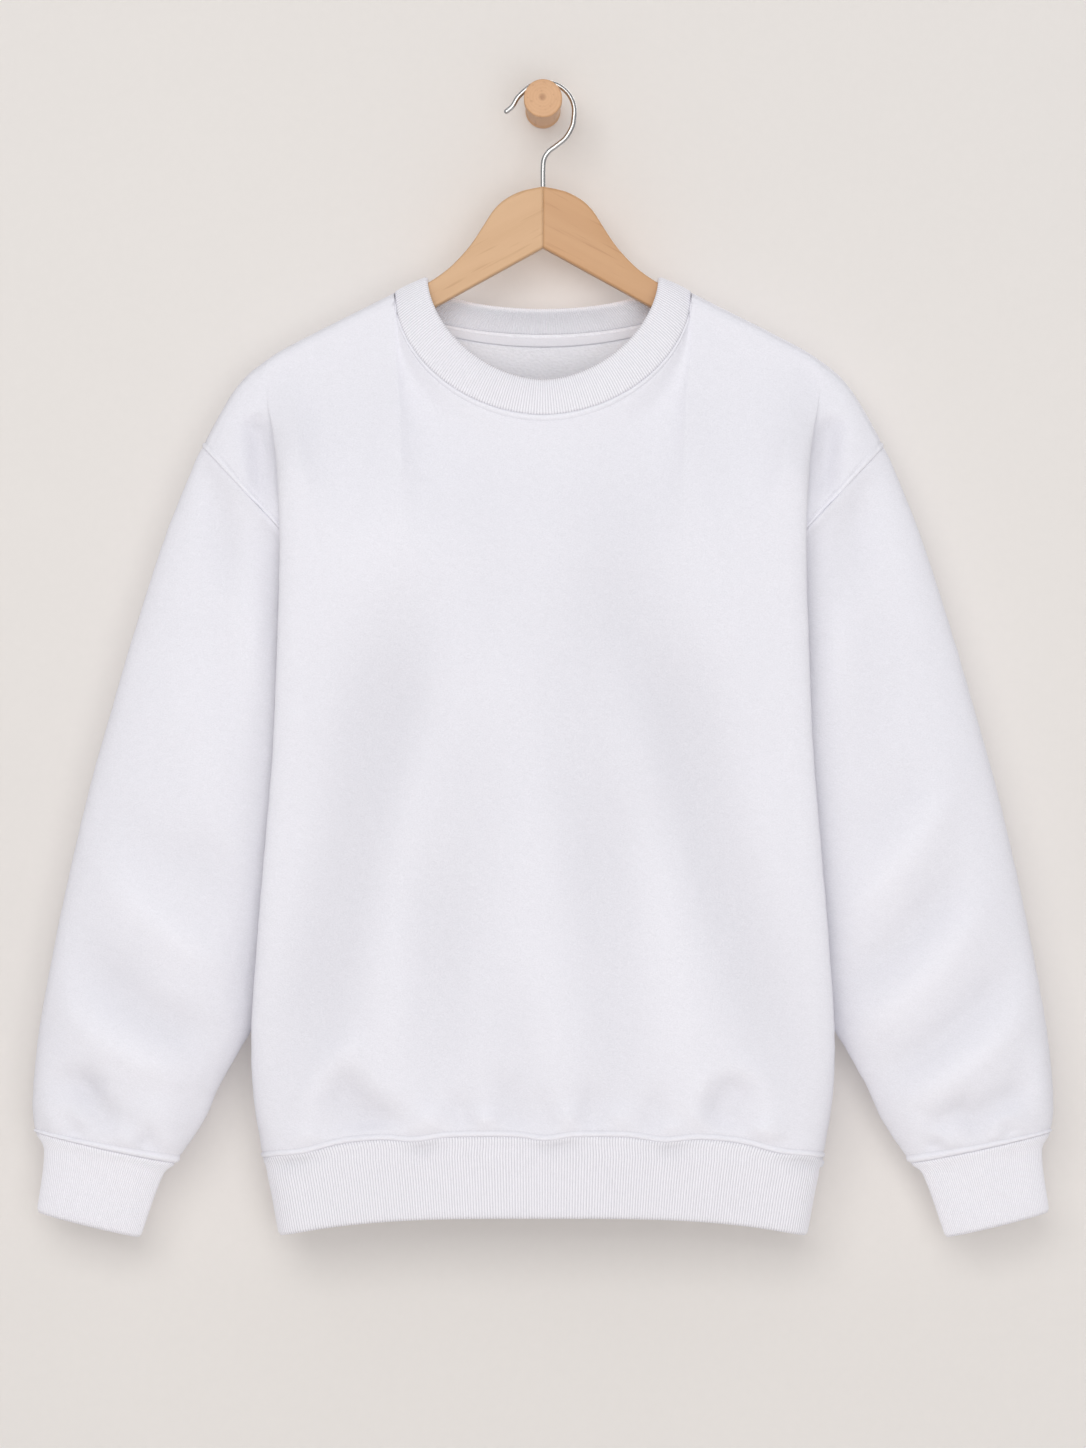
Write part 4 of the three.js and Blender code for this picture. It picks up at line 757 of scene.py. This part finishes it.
def buildSleeve(name, side, folds, seed):
    angle = (np.arange(sleeve["around"]) / sleeve["around"] * 2 * math.pi)[None, :]
    t = np.linspace(0, 1, sleeve["along"])
    near = 0.5 - 0.5 * np.cos(t * math.pi)
    row = (mix(t, near, 0.6) * 12)[:, None]
    rings = ovalRings(sleeveRows, row, angle, side)
    rise = shoulderPoint[1] - underarmPoint[1]
    run = shoulderPoint[0] - underarmPoint[0]
    away = np.array([side * rise, 0, -run]) / math.hypot(rise, run)
    gap = mix(0.4, 0.05, (np.cos(angle) + 1) / 2) * np.clip(1 - row, 0, 1)
    rings = rings + gap[..., None] * away
    s = np.sin(angle)
    along = np.concatenate([[0], np.cumsum(np.linalg.norm(np.diff(rings[:, ::12].mean(1), axis=0), axis=1))])[:, None]
    left = along[-1] - along
    shift = np.where(s > 0, 0, sleeve["backShift"])
    folded = foldHeight(folds, rings[..., 0], rings[..., 2] + shift) * np.abs(s) ** 1.2
    creases = 1.5 * foldHeight(folds, rings[..., 0], rings[..., 2] + shift)
    creases = creases + 0.4 * softWaves(rings[..., 0], rings[..., 2] + shift * 9, 70, seed)
    creases = creases * np.abs(s) ** 1.2 * smooth(along / 22) * smooth(left / 9)
    rings[..., 1] -= np.sign(s) * creases
    normals = gridNormals(rings, False, True) * (1 if side > 0 else -1)
    relief = -0.4 * bell(along, 1.0) + seamRelief(left, 1.3)
    relief = relief + 0.12 * softWaves(rings[..., 0], rings[..., 2], 15, seed + 1)
    outer = rings + normals * relief[..., None]
    inner = rings - normals * garment["fleece"]
    # painted shade and highlight at the cuff seam, painted shade at the armhole join and in fold troughs, a painted
    # highlight on fold ridges
    paintedShading = seamShade(left) + 0.3 * bell(along, 0.9) - 0.05 * folded * smooth((left - 4) / 8)
    # a soft shade where the sleeve goes behind the body's fold
    fold = panels["front"]["foldLine"]
    beyond = np.abs(rings[..., 0]) - np.interp(rings[..., 2], fold[:, 1], fold[:, 0])
    paintedShading = paintedShading + 0.34 * bell(np.maximum(beyond, 0), 15) * smooth(along / 5)
    # the inner face gets -0.25: painted light that lightens it
    shades = (paintedShading, np.full(inner.shape[:2], -0.25))
    piece = tubeShell(name, outer, inner, [fleeceFace, fleeceInside], side < 0, shades)
    return piece, {"outer": outer, "normals": normals, "left": left[:, 0], "along": along[:, 0]}


sleeveRight, rightFace = buildSleeve("sleeveRight", -1, rightSleeveFolds, 31)
sleeveLeft, leftFace = buildSleeve("sleeveLeft", 1, leftSleeveFolds, 47)
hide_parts("sleeve_right")
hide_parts("sleeve_left")
print("sleeves made")


# Ribbed bands

ribBands = {
    # shade is painted shade in the gaps between ribs on the outer and the inner face, below 0 a painted highlight;
    # the last entry is painted shade over the band's whole outer face, below 0 a painted lightening
    "hem": {"ribs": 436, "points": 5, "height": 0.8, "rows": 16, "shade": (1.2, 0.4), "paintedBandShading": -0.18},
    "cuff": {"ribs": 122, "points": 5, "height": 0.7, "rows": 16, "shade": (0.8, 0.3), "paintedBandShading": -0.2},
    "collar": {"ribs": 286, "points": 5, "height": 0.75, "rows": 16, "bulge": 1.6, "shade": (1.1, -0.25),
               "paintedBandShading": -0.15},
}
hemBand = {"middle": -848.6, "cornerDrop": 14, "half": 197, "curve": 3.2}
hemShape = {"down": [0, 0.18, 1], "width": [1, 0.972, 0.928], "depth": [1, 0.9, 0.8]}
hemTucks = [(-188, 14), (-90, 12), (10, 16), (97, 12), (196, 14)]    # where the body hangs over the band


def bandShell(name, rings, spec, flip, paintedPitShade=0):
    # a knitted band: ribs on both faces of a stack of rings, with a soft fold at its free edge
    thickness, height = garment["rib"], spec["height"]
    place = np.arange(rings.shape[1])[None, :] / rings.shape[1] * spec["ribs"]
    normals = gridNormals(rings, False, True) * (-1 if flip else 1)
    rows = np.linspace(0, 1, len(rings))[:, None]
    fromSeam = smooth(rows / 0.05)
    wave = ribWave(place, height) * fromSeam
    # painted shade in the gaps between ribs on both faces, over a painted shade for the whole band, plus painted
    # shade in the pits under the hem seam
    off = np.abs(place - np.round(place)) * 2
    paintedRibShading = spec["paintedBandShading"] + spec["shade"][0] * smooth((off - 0.45) / 0.5) * np.ones_like(rows) + paintedPitShade
    paintedInnerShading = spec["shade"][1] * smooth((1 - off - 0.45) / 0.5) * np.ones_like(rows)
    edge = np.clip((rows - 0.965) / 0.035, 0, 1)
    tuckIn = thickness / 2 * (1 - np.sqrt(np.clip(1 - edge**2, 0, 1)))
    outer = rings + normals * (wave - tuckIn)[..., None]
    inner = rings - normals * (thickness - tuckIn + 0.6 * ribWave(place + 0.5, height) * fromSeam - 0.2)[..., None]
    return tubeShell(name, outer, inner, [ribKnit, ribKnit], flip, (paintedRibShading, paintedInnerShading))


def buildHem():
    spec = ribBands["hem"]
    count = spec["ribs"] * spec["points"]
    loop = closedLine(np.concatenate([panels["front"]["grid"][0], panels["back"]["grid"][0][::-1]]))
    seam = loop(np.arange(count) / count)[None]
    down = np.linspace(0, 1, spec["rows"])[:, None]
    down = mix(down, smooth(down), 0.35)
    width = tableValue(hemShape, "width", down, "down")
    depth = tableValue(hemShape, "depth", down, "down")
    x = seam[..., 0] * width + 2.3 * np.sign(seam[..., 0]) * smooth(np.abs(seam[..., 0]) / 60) * smooth(down / 0.25)
    y = seam[..., 1] * depth + 2.3 * np.sign(seam[..., 1]) * smooth(np.abs(seam[..., 1]) / 8) * smooth(down / 0.25)
    z = mix(seam[..., 2] - 0.15, droop(hemBand, x), down)
    tuck = sum(bell(x - place, wide) for place, wide in hemTucks) * bell(down, 0.16) * smooth(down / 0.03)
    ripple = 0.5 * softWaves(x, np.sign(y) * 40 + 0 * x, 60, 5) * np.sin(np.clip(down, 0, 1) * math.pi)
    y = y - np.sign(y) * (2.8 * tuck - ripple)
    rings = np.stack([x, y, z], -1)
    # painted shade under the hem seam where the body hangs over the band
    return bandShell("hemBand", rings, spec, True, 0.55 * tuck)


def buildCuff(name, side, seed):
    spec = ribBands["cuff"]
    count = spec["ribs"] * spec["points"]
    angle = (np.arange(count) / count * 2 * math.pi)[None, :]
    down = np.linspace(0, 1, spec["rows"])[:, None]
    down = mix(down, smooth(down), 0.35)
    even = closedLine(ovalRings(cuffRows, np.zeros((1, 1)), angle, 1)[0])   # spaces the ribs evenly
    loop = ovalRings(cuffRows, np.zeros((1, 1)), angle, 1)[0]
    steps = np.linalg.norm(np.diff(np.concatenate([loop, loop[:1]]), axis=0), axis=1)
    length = np.concatenate([[0], np.cumsum(steps)])
    angle = np.interp(np.arange(count) / count * length[-1], length, np.append(angle, 2 * math.pi))[None, :]
    rings = ovalRings(cuffRows, down, angle, side)
    swell = 0.5 * softWaves(rings[..., 0], rings[..., 2], 45, seed) * np.sin(down * math.pi)
    rings[..., 1] -= np.sign(np.sin(angle)) * swell * np.abs(np.sin(angle))
    return bandShell(name, rings, spec, side < 0)


def buildCollar():
    spec = ribBands["collar"]
    count = spec["ribs"] * spec["points"]
    across = np.linspace(0, 1, spec["rows"])[:, None]
    halves = []
    for key, sign in (("front", 1), ("back", -1)):
        # turns at an even pitch along the middle of the band
        panel = panels[key]
        dense = np.linspace(-1, 1, 2001)
        seamLine = np.stack(neckPoint(panel["neck"]["seam"], dense), -1)
        freeLine = np.stack(neckPoint(panel["neck"]["free"], dense), -1)
        steps = np.linalg.norm(np.diff((seamLine + freeLine) / 2, axis=0), axis=1)
        halves.append((key, sign, dense, np.concatenate([[0], np.cumsum(steps)])))
    total = halves[0][3][-1] + halves[1][3][-1]
    at = np.arange(count) / count * total
    rings = []
    start = 0
    for key, sign, dense, length in halves:
        here = at[(at >= start) & (at < start + length[-1])] - start
        turn = sign * np.interp(here, length, dense)
        start += length[-1]
        panel = panels[key]
        sx, sz, sw = neckPoint(panel["neck"]["seam"], turn)
        fx, fz, fw = neckPoint(panel["neck"]["free"], turn)
        seam = np.stack([sx, panel["facing"] * (sw + garment["seamGap"] / 2), sz], -1)[None]
        free = np.stack([fx, panel["facing"] * fw, fz], -1)[None]
        gap = mix(0.05, 0.2, turn**2) / np.linalg.norm(seam[0] - free[0], axis=1)
        point = mix(seam, free, mix(gap[None, :], 1, across)[..., None])
        level = np.hypot(fx / panel["neck"]["free"]["half"], fw / panel["neck"]["free"]["out"])
        bulge = spec["bulge"] * np.sin(across * math.pi)
        point[..., 0] += bulge * (fx / panel["neck"]["free"]["half"] / level)
        point[..., 1] += bulge * (panel["facing"] * fw / panel["neck"]["free"]["out"] / level)
        rings.append(point)
    rings = np.concatenate(rings, 1)
    return bandShell("neckRib", rings, spec, False)


hemRib = buildHem()
cuffRight = buildCuff("cuffRight", -1, 61)
cuffLeft = buildCuff("cuffLeft", 1, 67)
neckRib = buildCollar()
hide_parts("hem_band")
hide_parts("cuff_right")
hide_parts("cuff_left")
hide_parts("neck_rib")
print("ribbed bands made")


# Neck tape, inside the back of the neck

tape = {"reach": 0.75, "from": 2.9, "to": 10, "columns": 150, "rows": 9}


def buildTape():
    # strips of the back panel's inner face, moved off it: the tape lies over the seam allowance
    back = panels["back"]
    turns = np.linspace(-tape["reach"], tape["reach"], tape["columns"]) * share["neck"]
    downs = np.linspace(tape["to"], tape["from"], tape["rows"])
    depth = back["fromTop"][:, len(back["u"]) // 2]
    rowAt = np.interp(-downs, -depth, np.arange(len(depth)))
    columnAt = np.interp(turns, back["u"], np.arange(len(back["u"])))

    def sample(grid):
        j, i = np.floor(rowAt).astype(int), np.floor(columnAt).astype(int)
        tj, ti = (rowAt - j)[:, None, None], (columnAt - i)[None, :, None]
        low = mix(grid[j][:, i], grid[j][:, i + 1], ti)
        high = mix(grid[j + 1][:, i], grid[j + 1][:, i + 1], ti)
        return mix(low, high, tj)
    face, normals = sample(back["inner"]), -sample(back["normals"])
    edge = np.linspace(0, 1, tape["rows"])[:, None]
    rounded = 0.35 * (bell(edge, 0.12) + bell(1 - edge, 0.12))
    outer = face + normals * (garment["seamGap"] + garment["tape"] - rounded)[..., None]
    inner = face + normals * garment["seamGap"]
    piece = sheetShell("neckTape", outer, inner, [neckTwill, neckTwill], False)
    return piece, outer, normals


neckTape, tapeFace, tapeNormals = buildTape()
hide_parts("neck_tape")
print("neck tape made")


# Sewing: each run is one mesh of short thread loops

def threadRun(name, lines, pitch, long, thick):
    # a small six-sided bead, stretched along the line at every stitch and half sunk in the cloth
    ring = np.arange(6) / 6 * 2 * math.pi
    profile = np.array([[-0.5, 0.1], [-0.38, 0.8], [0, 1], [0.38, 0.8], [0.5, 0.1]])
    along = np.repeat(profile[:, 0], 6) * long
    size = np.repeat(profile[:, 1], 6) * thick / 2
    across, out = np.tile(np.cos(ring), 5) * size, np.tile(np.sin(ring), 5) * size
    quads = gridFaces(5, 6, False, True, True)
    allPoints, allQuads, done = [], [], 0
    for points, normals in lines:
        at, place = openLine(np.concatenate([points, normals], 1), pitch)
        spot, normal = place[:, :3], place[:, 3:]
        tangent = np.gradient(spot, axis=0)
        tangent /= np.linalg.norm(tangent, axis=1, keepdims=True)
        normal = normal - tangent * (normal * tangent).sum(1, keepdims=True)
        normal /= np.linalg.norm(normal, axis=1, keepdims=True)
        sideways = np.cross(tangent, normal)
        beads = (spot[:, None] + tangent[:, None] * along[None, :, None]
                 + sideways[:, None] * across[None, :, None] + normal[:, None] * out[None, :, None])
        count = len(spot)
        allQuads.append((quads[None] + (np.arange(count) * 30)[:, None, None]).reshape(-1, 4) + done)
        allPoints.append(beads.reshape(-1, 3))
        done += count * 30
    return meshFrom(name, np.concatenate(allPoints), np.concatenate(allQuads), [sewingThread])


def acrossColumns(grid, distance, wanted):
    # the point of each row at a wanted distance, between its neighbours
    j = np.arange(len(grid))
    i = np.clip((distance < wanted).sum(1) - 1, 0, grid.shape[1] - 2)
    t = (wanted - distance[j, i]) / np.maximum(distance[j, i + 1] - distance[j, i], 1e-6)
    return mix(grid[j, i], grid[j, i + 1], np.clip(t, 0, 1)[:, None])


def rowLine(panel, distance, wanted, keep):
    # the line along the panel that lies at a wanted distance from its top or its hem
    grid = np.swapaxes(np.concatenate([panel["outer"], panel["normals"]], 2), 0, 1)[keep]
    line = acrossColumns(grid, distance.T[keep], wanted)
    return line[:, :3], line[:, 3:]


def armholeLines(panel, wanted):
    lines = []
    for flip in (1, -1):
        grid = np.concatenate([panel["outer"], panel["normals"]], 2)[:, ::flip]
        steps = np.linalg.norm(np.diff(grid[..., :3], axis=1), axis=2)
        distance = np.concatenate([np.zeros((len(grid), 1)), np.cumsum(steps, 1)], 1)
        line = acrossColumns(grid, distance, wanted)
        keep = (panel["v"][:, 0] > underarmHeight + 0.03) & (panel["v"][:, 0] < 0.985)
        lines.append((line[keep, :3], line[keep, 3:]))
    return lines


stitches = {"pitch": 3.0, "long": 2.3, "thick": 0.42}
sewn = []
for key, label in (("front", "Front"), ("back", "Back")):
    panel = panels[key]
    onNeck = np.abs(panel["u"]) <= share["neck"] * 0.985
    across = np.abs(panel["u"]) <= share["fold"]
    top = [rowLine(panel, panel["fromTop"][::-1], 5.4, onNeck)]
    top[0] = rowLine({"outer": panel["outer"][::-1], "normals": panel["normals"][::-1]},
                     panel["fromTop"][::-1], 5.4, onNeck)
    hem = [rowLine(panel, panel["fromHem"], 5.4, across)]
    run = threadRun("stitches" + label, top + hem + armholeLines(panel, 5.4), **stitches)
    sewn.append(run)
for label, face in (("Right", rightFace), ("Left", leftFace)):
    j = int(np.argmin(np.abs(face["left"] - 5.4)))
    ring = np.concatenate([face["outer"][j], face["outer"][j][:1]])
    ringNormals = np.concatenate([face["normals"][j], face["normals"][j][:1]])
    sewn.append(threadRun("stitchesSleeve" + label, [(ring, ringNormals)], **stitches))
tapeLines = [(tapeFace[1], tapeNormals[1]), (tapeFace[-2], tapeNormals[-2])]
sewn.append(threadRun("stitchesTape", tapeLines, 2.6, 2.0, 0.4))
print("sewing made")


# Hanger, hook and peg

board = {"thickness": 12, "corner": 2.6}
boardEdges = {   # upper and lower edge of one arm, from the mitre to the tip
    "s": [0, 0.06, 0.12, 0.17, 0.23, 0.29, 0.34, 0.4, 0.47, 0.57, 0.71, 0.83, 0.9, 0.945, 0.975, 1],
    "topX": [0, 16.3, 28.9, 37.5, 45.6, 53.9, 62.2, 73, 88, 113, 150, 180, 200, 212, 219.5, 223],
    "topZ": [-67.6, -71.2, -77.5, -85.6, -98, -110.6, -120.6, -131, -141.2, -154.3, -171.6, -187.2,
             -198.6, -207.2, -214.2, -220.5],
    "lowX": [0, 12, 24, 34, 46, 58, 69, 82, 97, 118, 150, 177, 193, 205, 214, 220.5],
    "lowZ": [-114.4, -121, -127.6, -133.1, -139.7, -146.3, -152.4, -159.6, -167.9, -179.4, -197.2,
             -212.3, -221.3, -227, -229.6, -227.5],
}
wire = {"radius": 1.85, "sides": 20, "steps": 260, "socket": 16}
hookPath = {
    "tip": [(-29.2, -11.4), (-26.2, -9.0), (-23.0, -6.0), (-19.6, -0.3)],
    "bend": (1.5, -10.6, 22.4),
    "neck": [(22.2, -21.6), (17.3, -30.2), (10.6, -35.9), (4.4, -40.7), (0.8, -46.5), (0, -54), (0, -67.6)],
}
peg = {"foot": 13.5, "neck": 12.5, "head": 14.5, "headLength": 15.5, "wallToHead": 54.5, "edge": 1.3}


def buildArm(name, side, material):
    # a rounded oblong section between the board's upper and lower edge, carried out to the tip
    s = np.linspace(0, 1, 150)
    s = np.concatenate([s[:-1], 1 - 0.02 * (1 - np.linspace(0, 1, 8)[1:]) ** 2])
    s = np.unique(s)[:, None]
    topX, topZ, lowX, lowZ = (tableValue(boardEdges, k, s, "s") for k in ("topX", "topZ", "lowX", "lowZ"))
    height = np.hypot(topX - lowX, topZ - lowZ)
    corner, halfThick = board["corner"], board["thickness"] / 2
    turn = np.linspace(0, math.pi / 2, 6)
    bend = np.concatenate([turn, turn + math.pi / 2, turn + math.pi, turn + 3 * math.pi / 2])[None, :]
    right = np.repeat([1, -1, -1, 1], 6)[None, :]
    upper = np.repeat([1, 1, -1, -1], 6)[None, :]
    y = right * (halfThick - corner) + corner * np.cos(bend)
    rise = upper * (height / 2 - corner) + corner * np.sin(bend)
    share2 = rise / height
    x = (topX + lowX) / 2 + (topX - lowX) * share2
    z = (topZ + lowZ) / 2 + (topZ - lowZ) * share2
    grid = np.stack([side * (np.maximum(x, 0) + 0.04), y + 0 * x, z], -1)     # the mitre is glued
    rows, columns = grid.shape[:2]
    quads = gridFaces(rows, columns, False, True, side > 0)
    first = np.arange(columns)
    last = (rows - 1) * columns + first
    caps = [first if side > 0 else first[::-1], last[::-1] if side > 0 else last]
    return meshFrom(name, grid.reshape(-1, 3), quads, [material], caps=caps)


def buildHook():
    # a round wire along a smooth line through the tip, the bend over the peg and the neck
    x0, z0, radius = hookPath["bend"]
    arc = np.radians(np.linspace(138, -12, 9))
    stops = np.array(hookPath["tip"] + list(zip(x0 + radius * np.cos(arc), z0 + radius * np.sin(arc)))
                     + hookPath["neck"] + [(0, -67.6 - wire["socket"] + 0.6)])
    knots = np.concatenate([[0], np.cumsum(np.sqrt(np.linalg.norm(np.diff(stops, axis=0), axis=1)))])
    table = {"k": knots, "x": stops[:, 0], "z": stops[:, 1]}
    at = np.linspace(0, knots[-1], wire["steps"])
    line = np.stack([tableValue(table, "x", at, "k"), 0 * at, tableValue(table, "z", at, "k")], -1)
    tangent = np.gradient(line, axis=0)
    tangent /= np.linalg.norm(tangent, axis=1, keepdims=True)
    inPlane = np.cross(tangent, [0, 1, 0])
    angle = np.arange(wire["sides"]) / wire["sides"] * 2 * math.pi
    travel = np.concatenate([[0], np.cumsum(np.linalg.norm(np.diff(line, axis=0), axis=1))])
    size = wire["radius"] * np.sqrt(np.clip(1 - (1 - np.clip(travel / 1.6, 0.02, 1)) ** 2, 0, 1))
    offset = inPlane[:, None] * np.cos(angle)[None, :, None] + np.array([0, 1, 0]) * np.sin(angle)[None, :, None]
    grid = line[:, None] + offset * size[:, None, None]
    rows, columns = grid.shape[:2]
    quads = gridFaces(rows, columns, False, True, False)
    first = np.arange(columns)
    caps = [first[::-1], (rows - 1) * columns + first]
    return meshFrom("hangerHook", grid.reshape(-1, 3), quads, [polishedSteel], caps=caps)


def buildPeg():
    # a turned profile swept round the peg's own axis, which points out of the wall
    face = peg["wallToHead"] + peg["headLength"]
    e, head = peg["edge"], peg["head"]
    bend = np.radians(np.linspace(0, 90, 7))
    profile = [(peg["foot"], 0), (peg["foot"], 3.6), (peg["foot"] - 0.3, 4.2), (peg["neck"], 7)]
    profile += [(peg["neck"], d) for d in np.linspace(12, peg["wallToHead"] - 0.6, 6)]
    profile += [(peg["neck"] + 0.5, peg["wallToHead"])]
    profile += [(head - e + e * math.sin(b), peg["wallToHead"] + e - e * math.cos(b)) for b in bend]
    profile += [(head - e + e * math.cos(b), face - e + e * math.sin(b)) for b in bend]
    profile += [(r, face) for r in (11, 8, 5, 2)]
    profile = np.array(profile)
    angle = np.arange(96) / 96 * 2 * math.pi
    grid = np.stack(np.broadcast_arrays(
        profile[:, 0, None] * np.cos(angle), -garment["hangerY"] - profile[:, 1, None] + 0 * angle,
        profile[:, 0, None] * np.sin(angle) - garment["hangerZ"]), -1)
    rows, columns = grid.shape[:2]
    quads = gridFaces(rows, columns, False, True, False)
    first = np.arange(columns)
    caps = [first[::-1], (rows - 1) * columns + first]
    return meshFrom("wallPeg", grid.reshape(-1, 3), quads, [beechPeg], caps=caps)


armRight = buildArm("hangerArmRight", -1, beechArmRight)
armLeft = buildArm("hangerArmLeft", 1, beechArmLeft)
hook = buildHook()
wallPeg = buildPeg()
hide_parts("hanger_arm_right")
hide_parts("hanger_arm_left")
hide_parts("hanger_hook")
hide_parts("wall_peg")
print("hanger, hook and peg made")


# Stage, lights and camera

stage = {"wallColour": (0.785, 0.753, 0.724), "floor": -1.6, "wallReach": 3.2}


def stageMaterial(name, colour, seeThrough):
    # pale plaster with very faint mottling; the wall lets the view through from behind
    material, nodes, links, shader = nodesOf(name)
    source = nodes.new("ShaderNodeTexCoord").outputs["Object"]
    cloud = noiseNode(nodes, links, source, 2.2, (1, 1, 1), 4)
    grit = noiseNode(nodes, links, source, 160, (1, 1, 1), 3)
    c = np.array(colour)
    soft = rampNode(nodes, links, cloud, [(0.3, tuple(c * 0.985)), (0.7, tuple(c * 1.012))])
    fine = rampNode(nodes, links, grit, [(0.3, tuple(c * 0.985)), (0.7, tuple(c * 1.012))])
    links.new(mixNode(nodes, links, soft, fine, 0.4), shader.inputs["Base Color"])
    shader.inputs["Roughness"].default_value = 0.95
    shader.inputs["Specular IOR Level"].default_value = 0.1
    links.new(bumpNode(nodes, links, grit, 0.0004, 0.2), shader.inputs["Normal"])
    if seeThrough:
        clear = nodes.new("ShaderNodeBsdfTransparent")
        blend = nodes.new("ShaderNodeMixShader")
        facing = nodes.new("ShaderNodeNewGeometry")
        links.new(facing.outputs["Backfacing"], blend.inputs[0])
        links.new(shader.outputs["BSDF"], blend.inputs[1])
        links.new(clear.outputs["BSDF"], blend.inputs[2])
        links.new(blend.outputs["Shader"], nodes["Material Output"].inputs["Surface"])
    return material


def stagePlane(name, corners, material):
    mesh = bpy.data.meshes.new(name)
    mesh.from_pydata(corners, [], [(0, 1, 2, 3)])
    mesh.materials.append(material)
    plane = bpy.data.objects.new(name, mesh)
    bpy.context.scene.collection.objects.link(plane)
    return plane


reach, floorZ = stage["wallReach"], stage["floor"]
wall = stagePlane("wallStage", [(-reach, 0.0004, floorZ), (reach, 0.0004, floorZ), (reach, 0.0004, 2.4),
                                (-reach, 0.0004, 2.4)], stageMaterial("wallPlaster", stage["wallColour"], True))
floor = stagePlane("floorStage", [(-6, -7, floorZ), (6, -7, floorZ), (6, 7, floorZ), (-6, 7, floorZ)],
                   stageMaterial("floorPlaster", (0.78, 0.755, 0.735), False))
wall.visible_shadow = False
wall.visible_glossy = False


def areaLight(name, place, target, size, power, colour):
    data = bpy.data.lights.new(name, "AREA")
    data.shape = "RECTANGLE"
    data.size, data.size_y = size
    data.energy = power
    data.color = colour
    lamp = bpy.data.objects.new(name, data)
    lamp.location = place
    away = np.array(place) - np.array(target)
    lamp.rotation_mode = "QUATERNION"
    from mathutils import Vector
    lamp.rotation_quaternion = Vector(away).to_track_quat("Z", "Y")
    bpy.context.scene.collection.objects.link(lamp)
    return lamp


lights = [
    ("keyLight", (-0.6, -3.3, 0.85), (0, 0, -0.45), (2.4, 1.6), 37, (1, 0.985, 0.965)),
    ("fillLight", (0.5, -3.9, -0.7), (0, 0, -0.4), (2.2, 2.2), 40, (0.98, 0.985, 1)),
    ("backLight", (0.8, 2.8, 1.2), (0, 0, -0.5), (2.4, 1.8), 48, (1, 0.99, 0.98)),
]
for light in lights:
    areaLight(*light)
world = bpy.data.worlds.new("studio")
bpy.context.scene.world = world
world.use_nodes = True
world.node_tree.nodes["Background"].inputs["Color"].default_value = (0.97, 0.98, 1, 1)
world.node_tree.nodes["Background"].inputs["Strength"].default_value = 0.50

camera = bpy.data.objects.new("photoCamera", bpy.data.cameras.new("photoCamera"))
camera.location = (0, -3.35, -0.4729)
camera.rotation_euler = (math.pi / 2, 0, 0)
camera.data.lens = 107.95
camera.data.sensor_width = 36
camera.data.clip_start, camera.data.clip_end = 0.05, 60
bpy.context.scene.collection.objects.link(camera)
bpy.context.scene.camera = camera
bpy.context.scene.view_settings.view_transform = "Standard"
bpy.context.scene.view_settings.look = "None"
print("stage, lights and camera made")
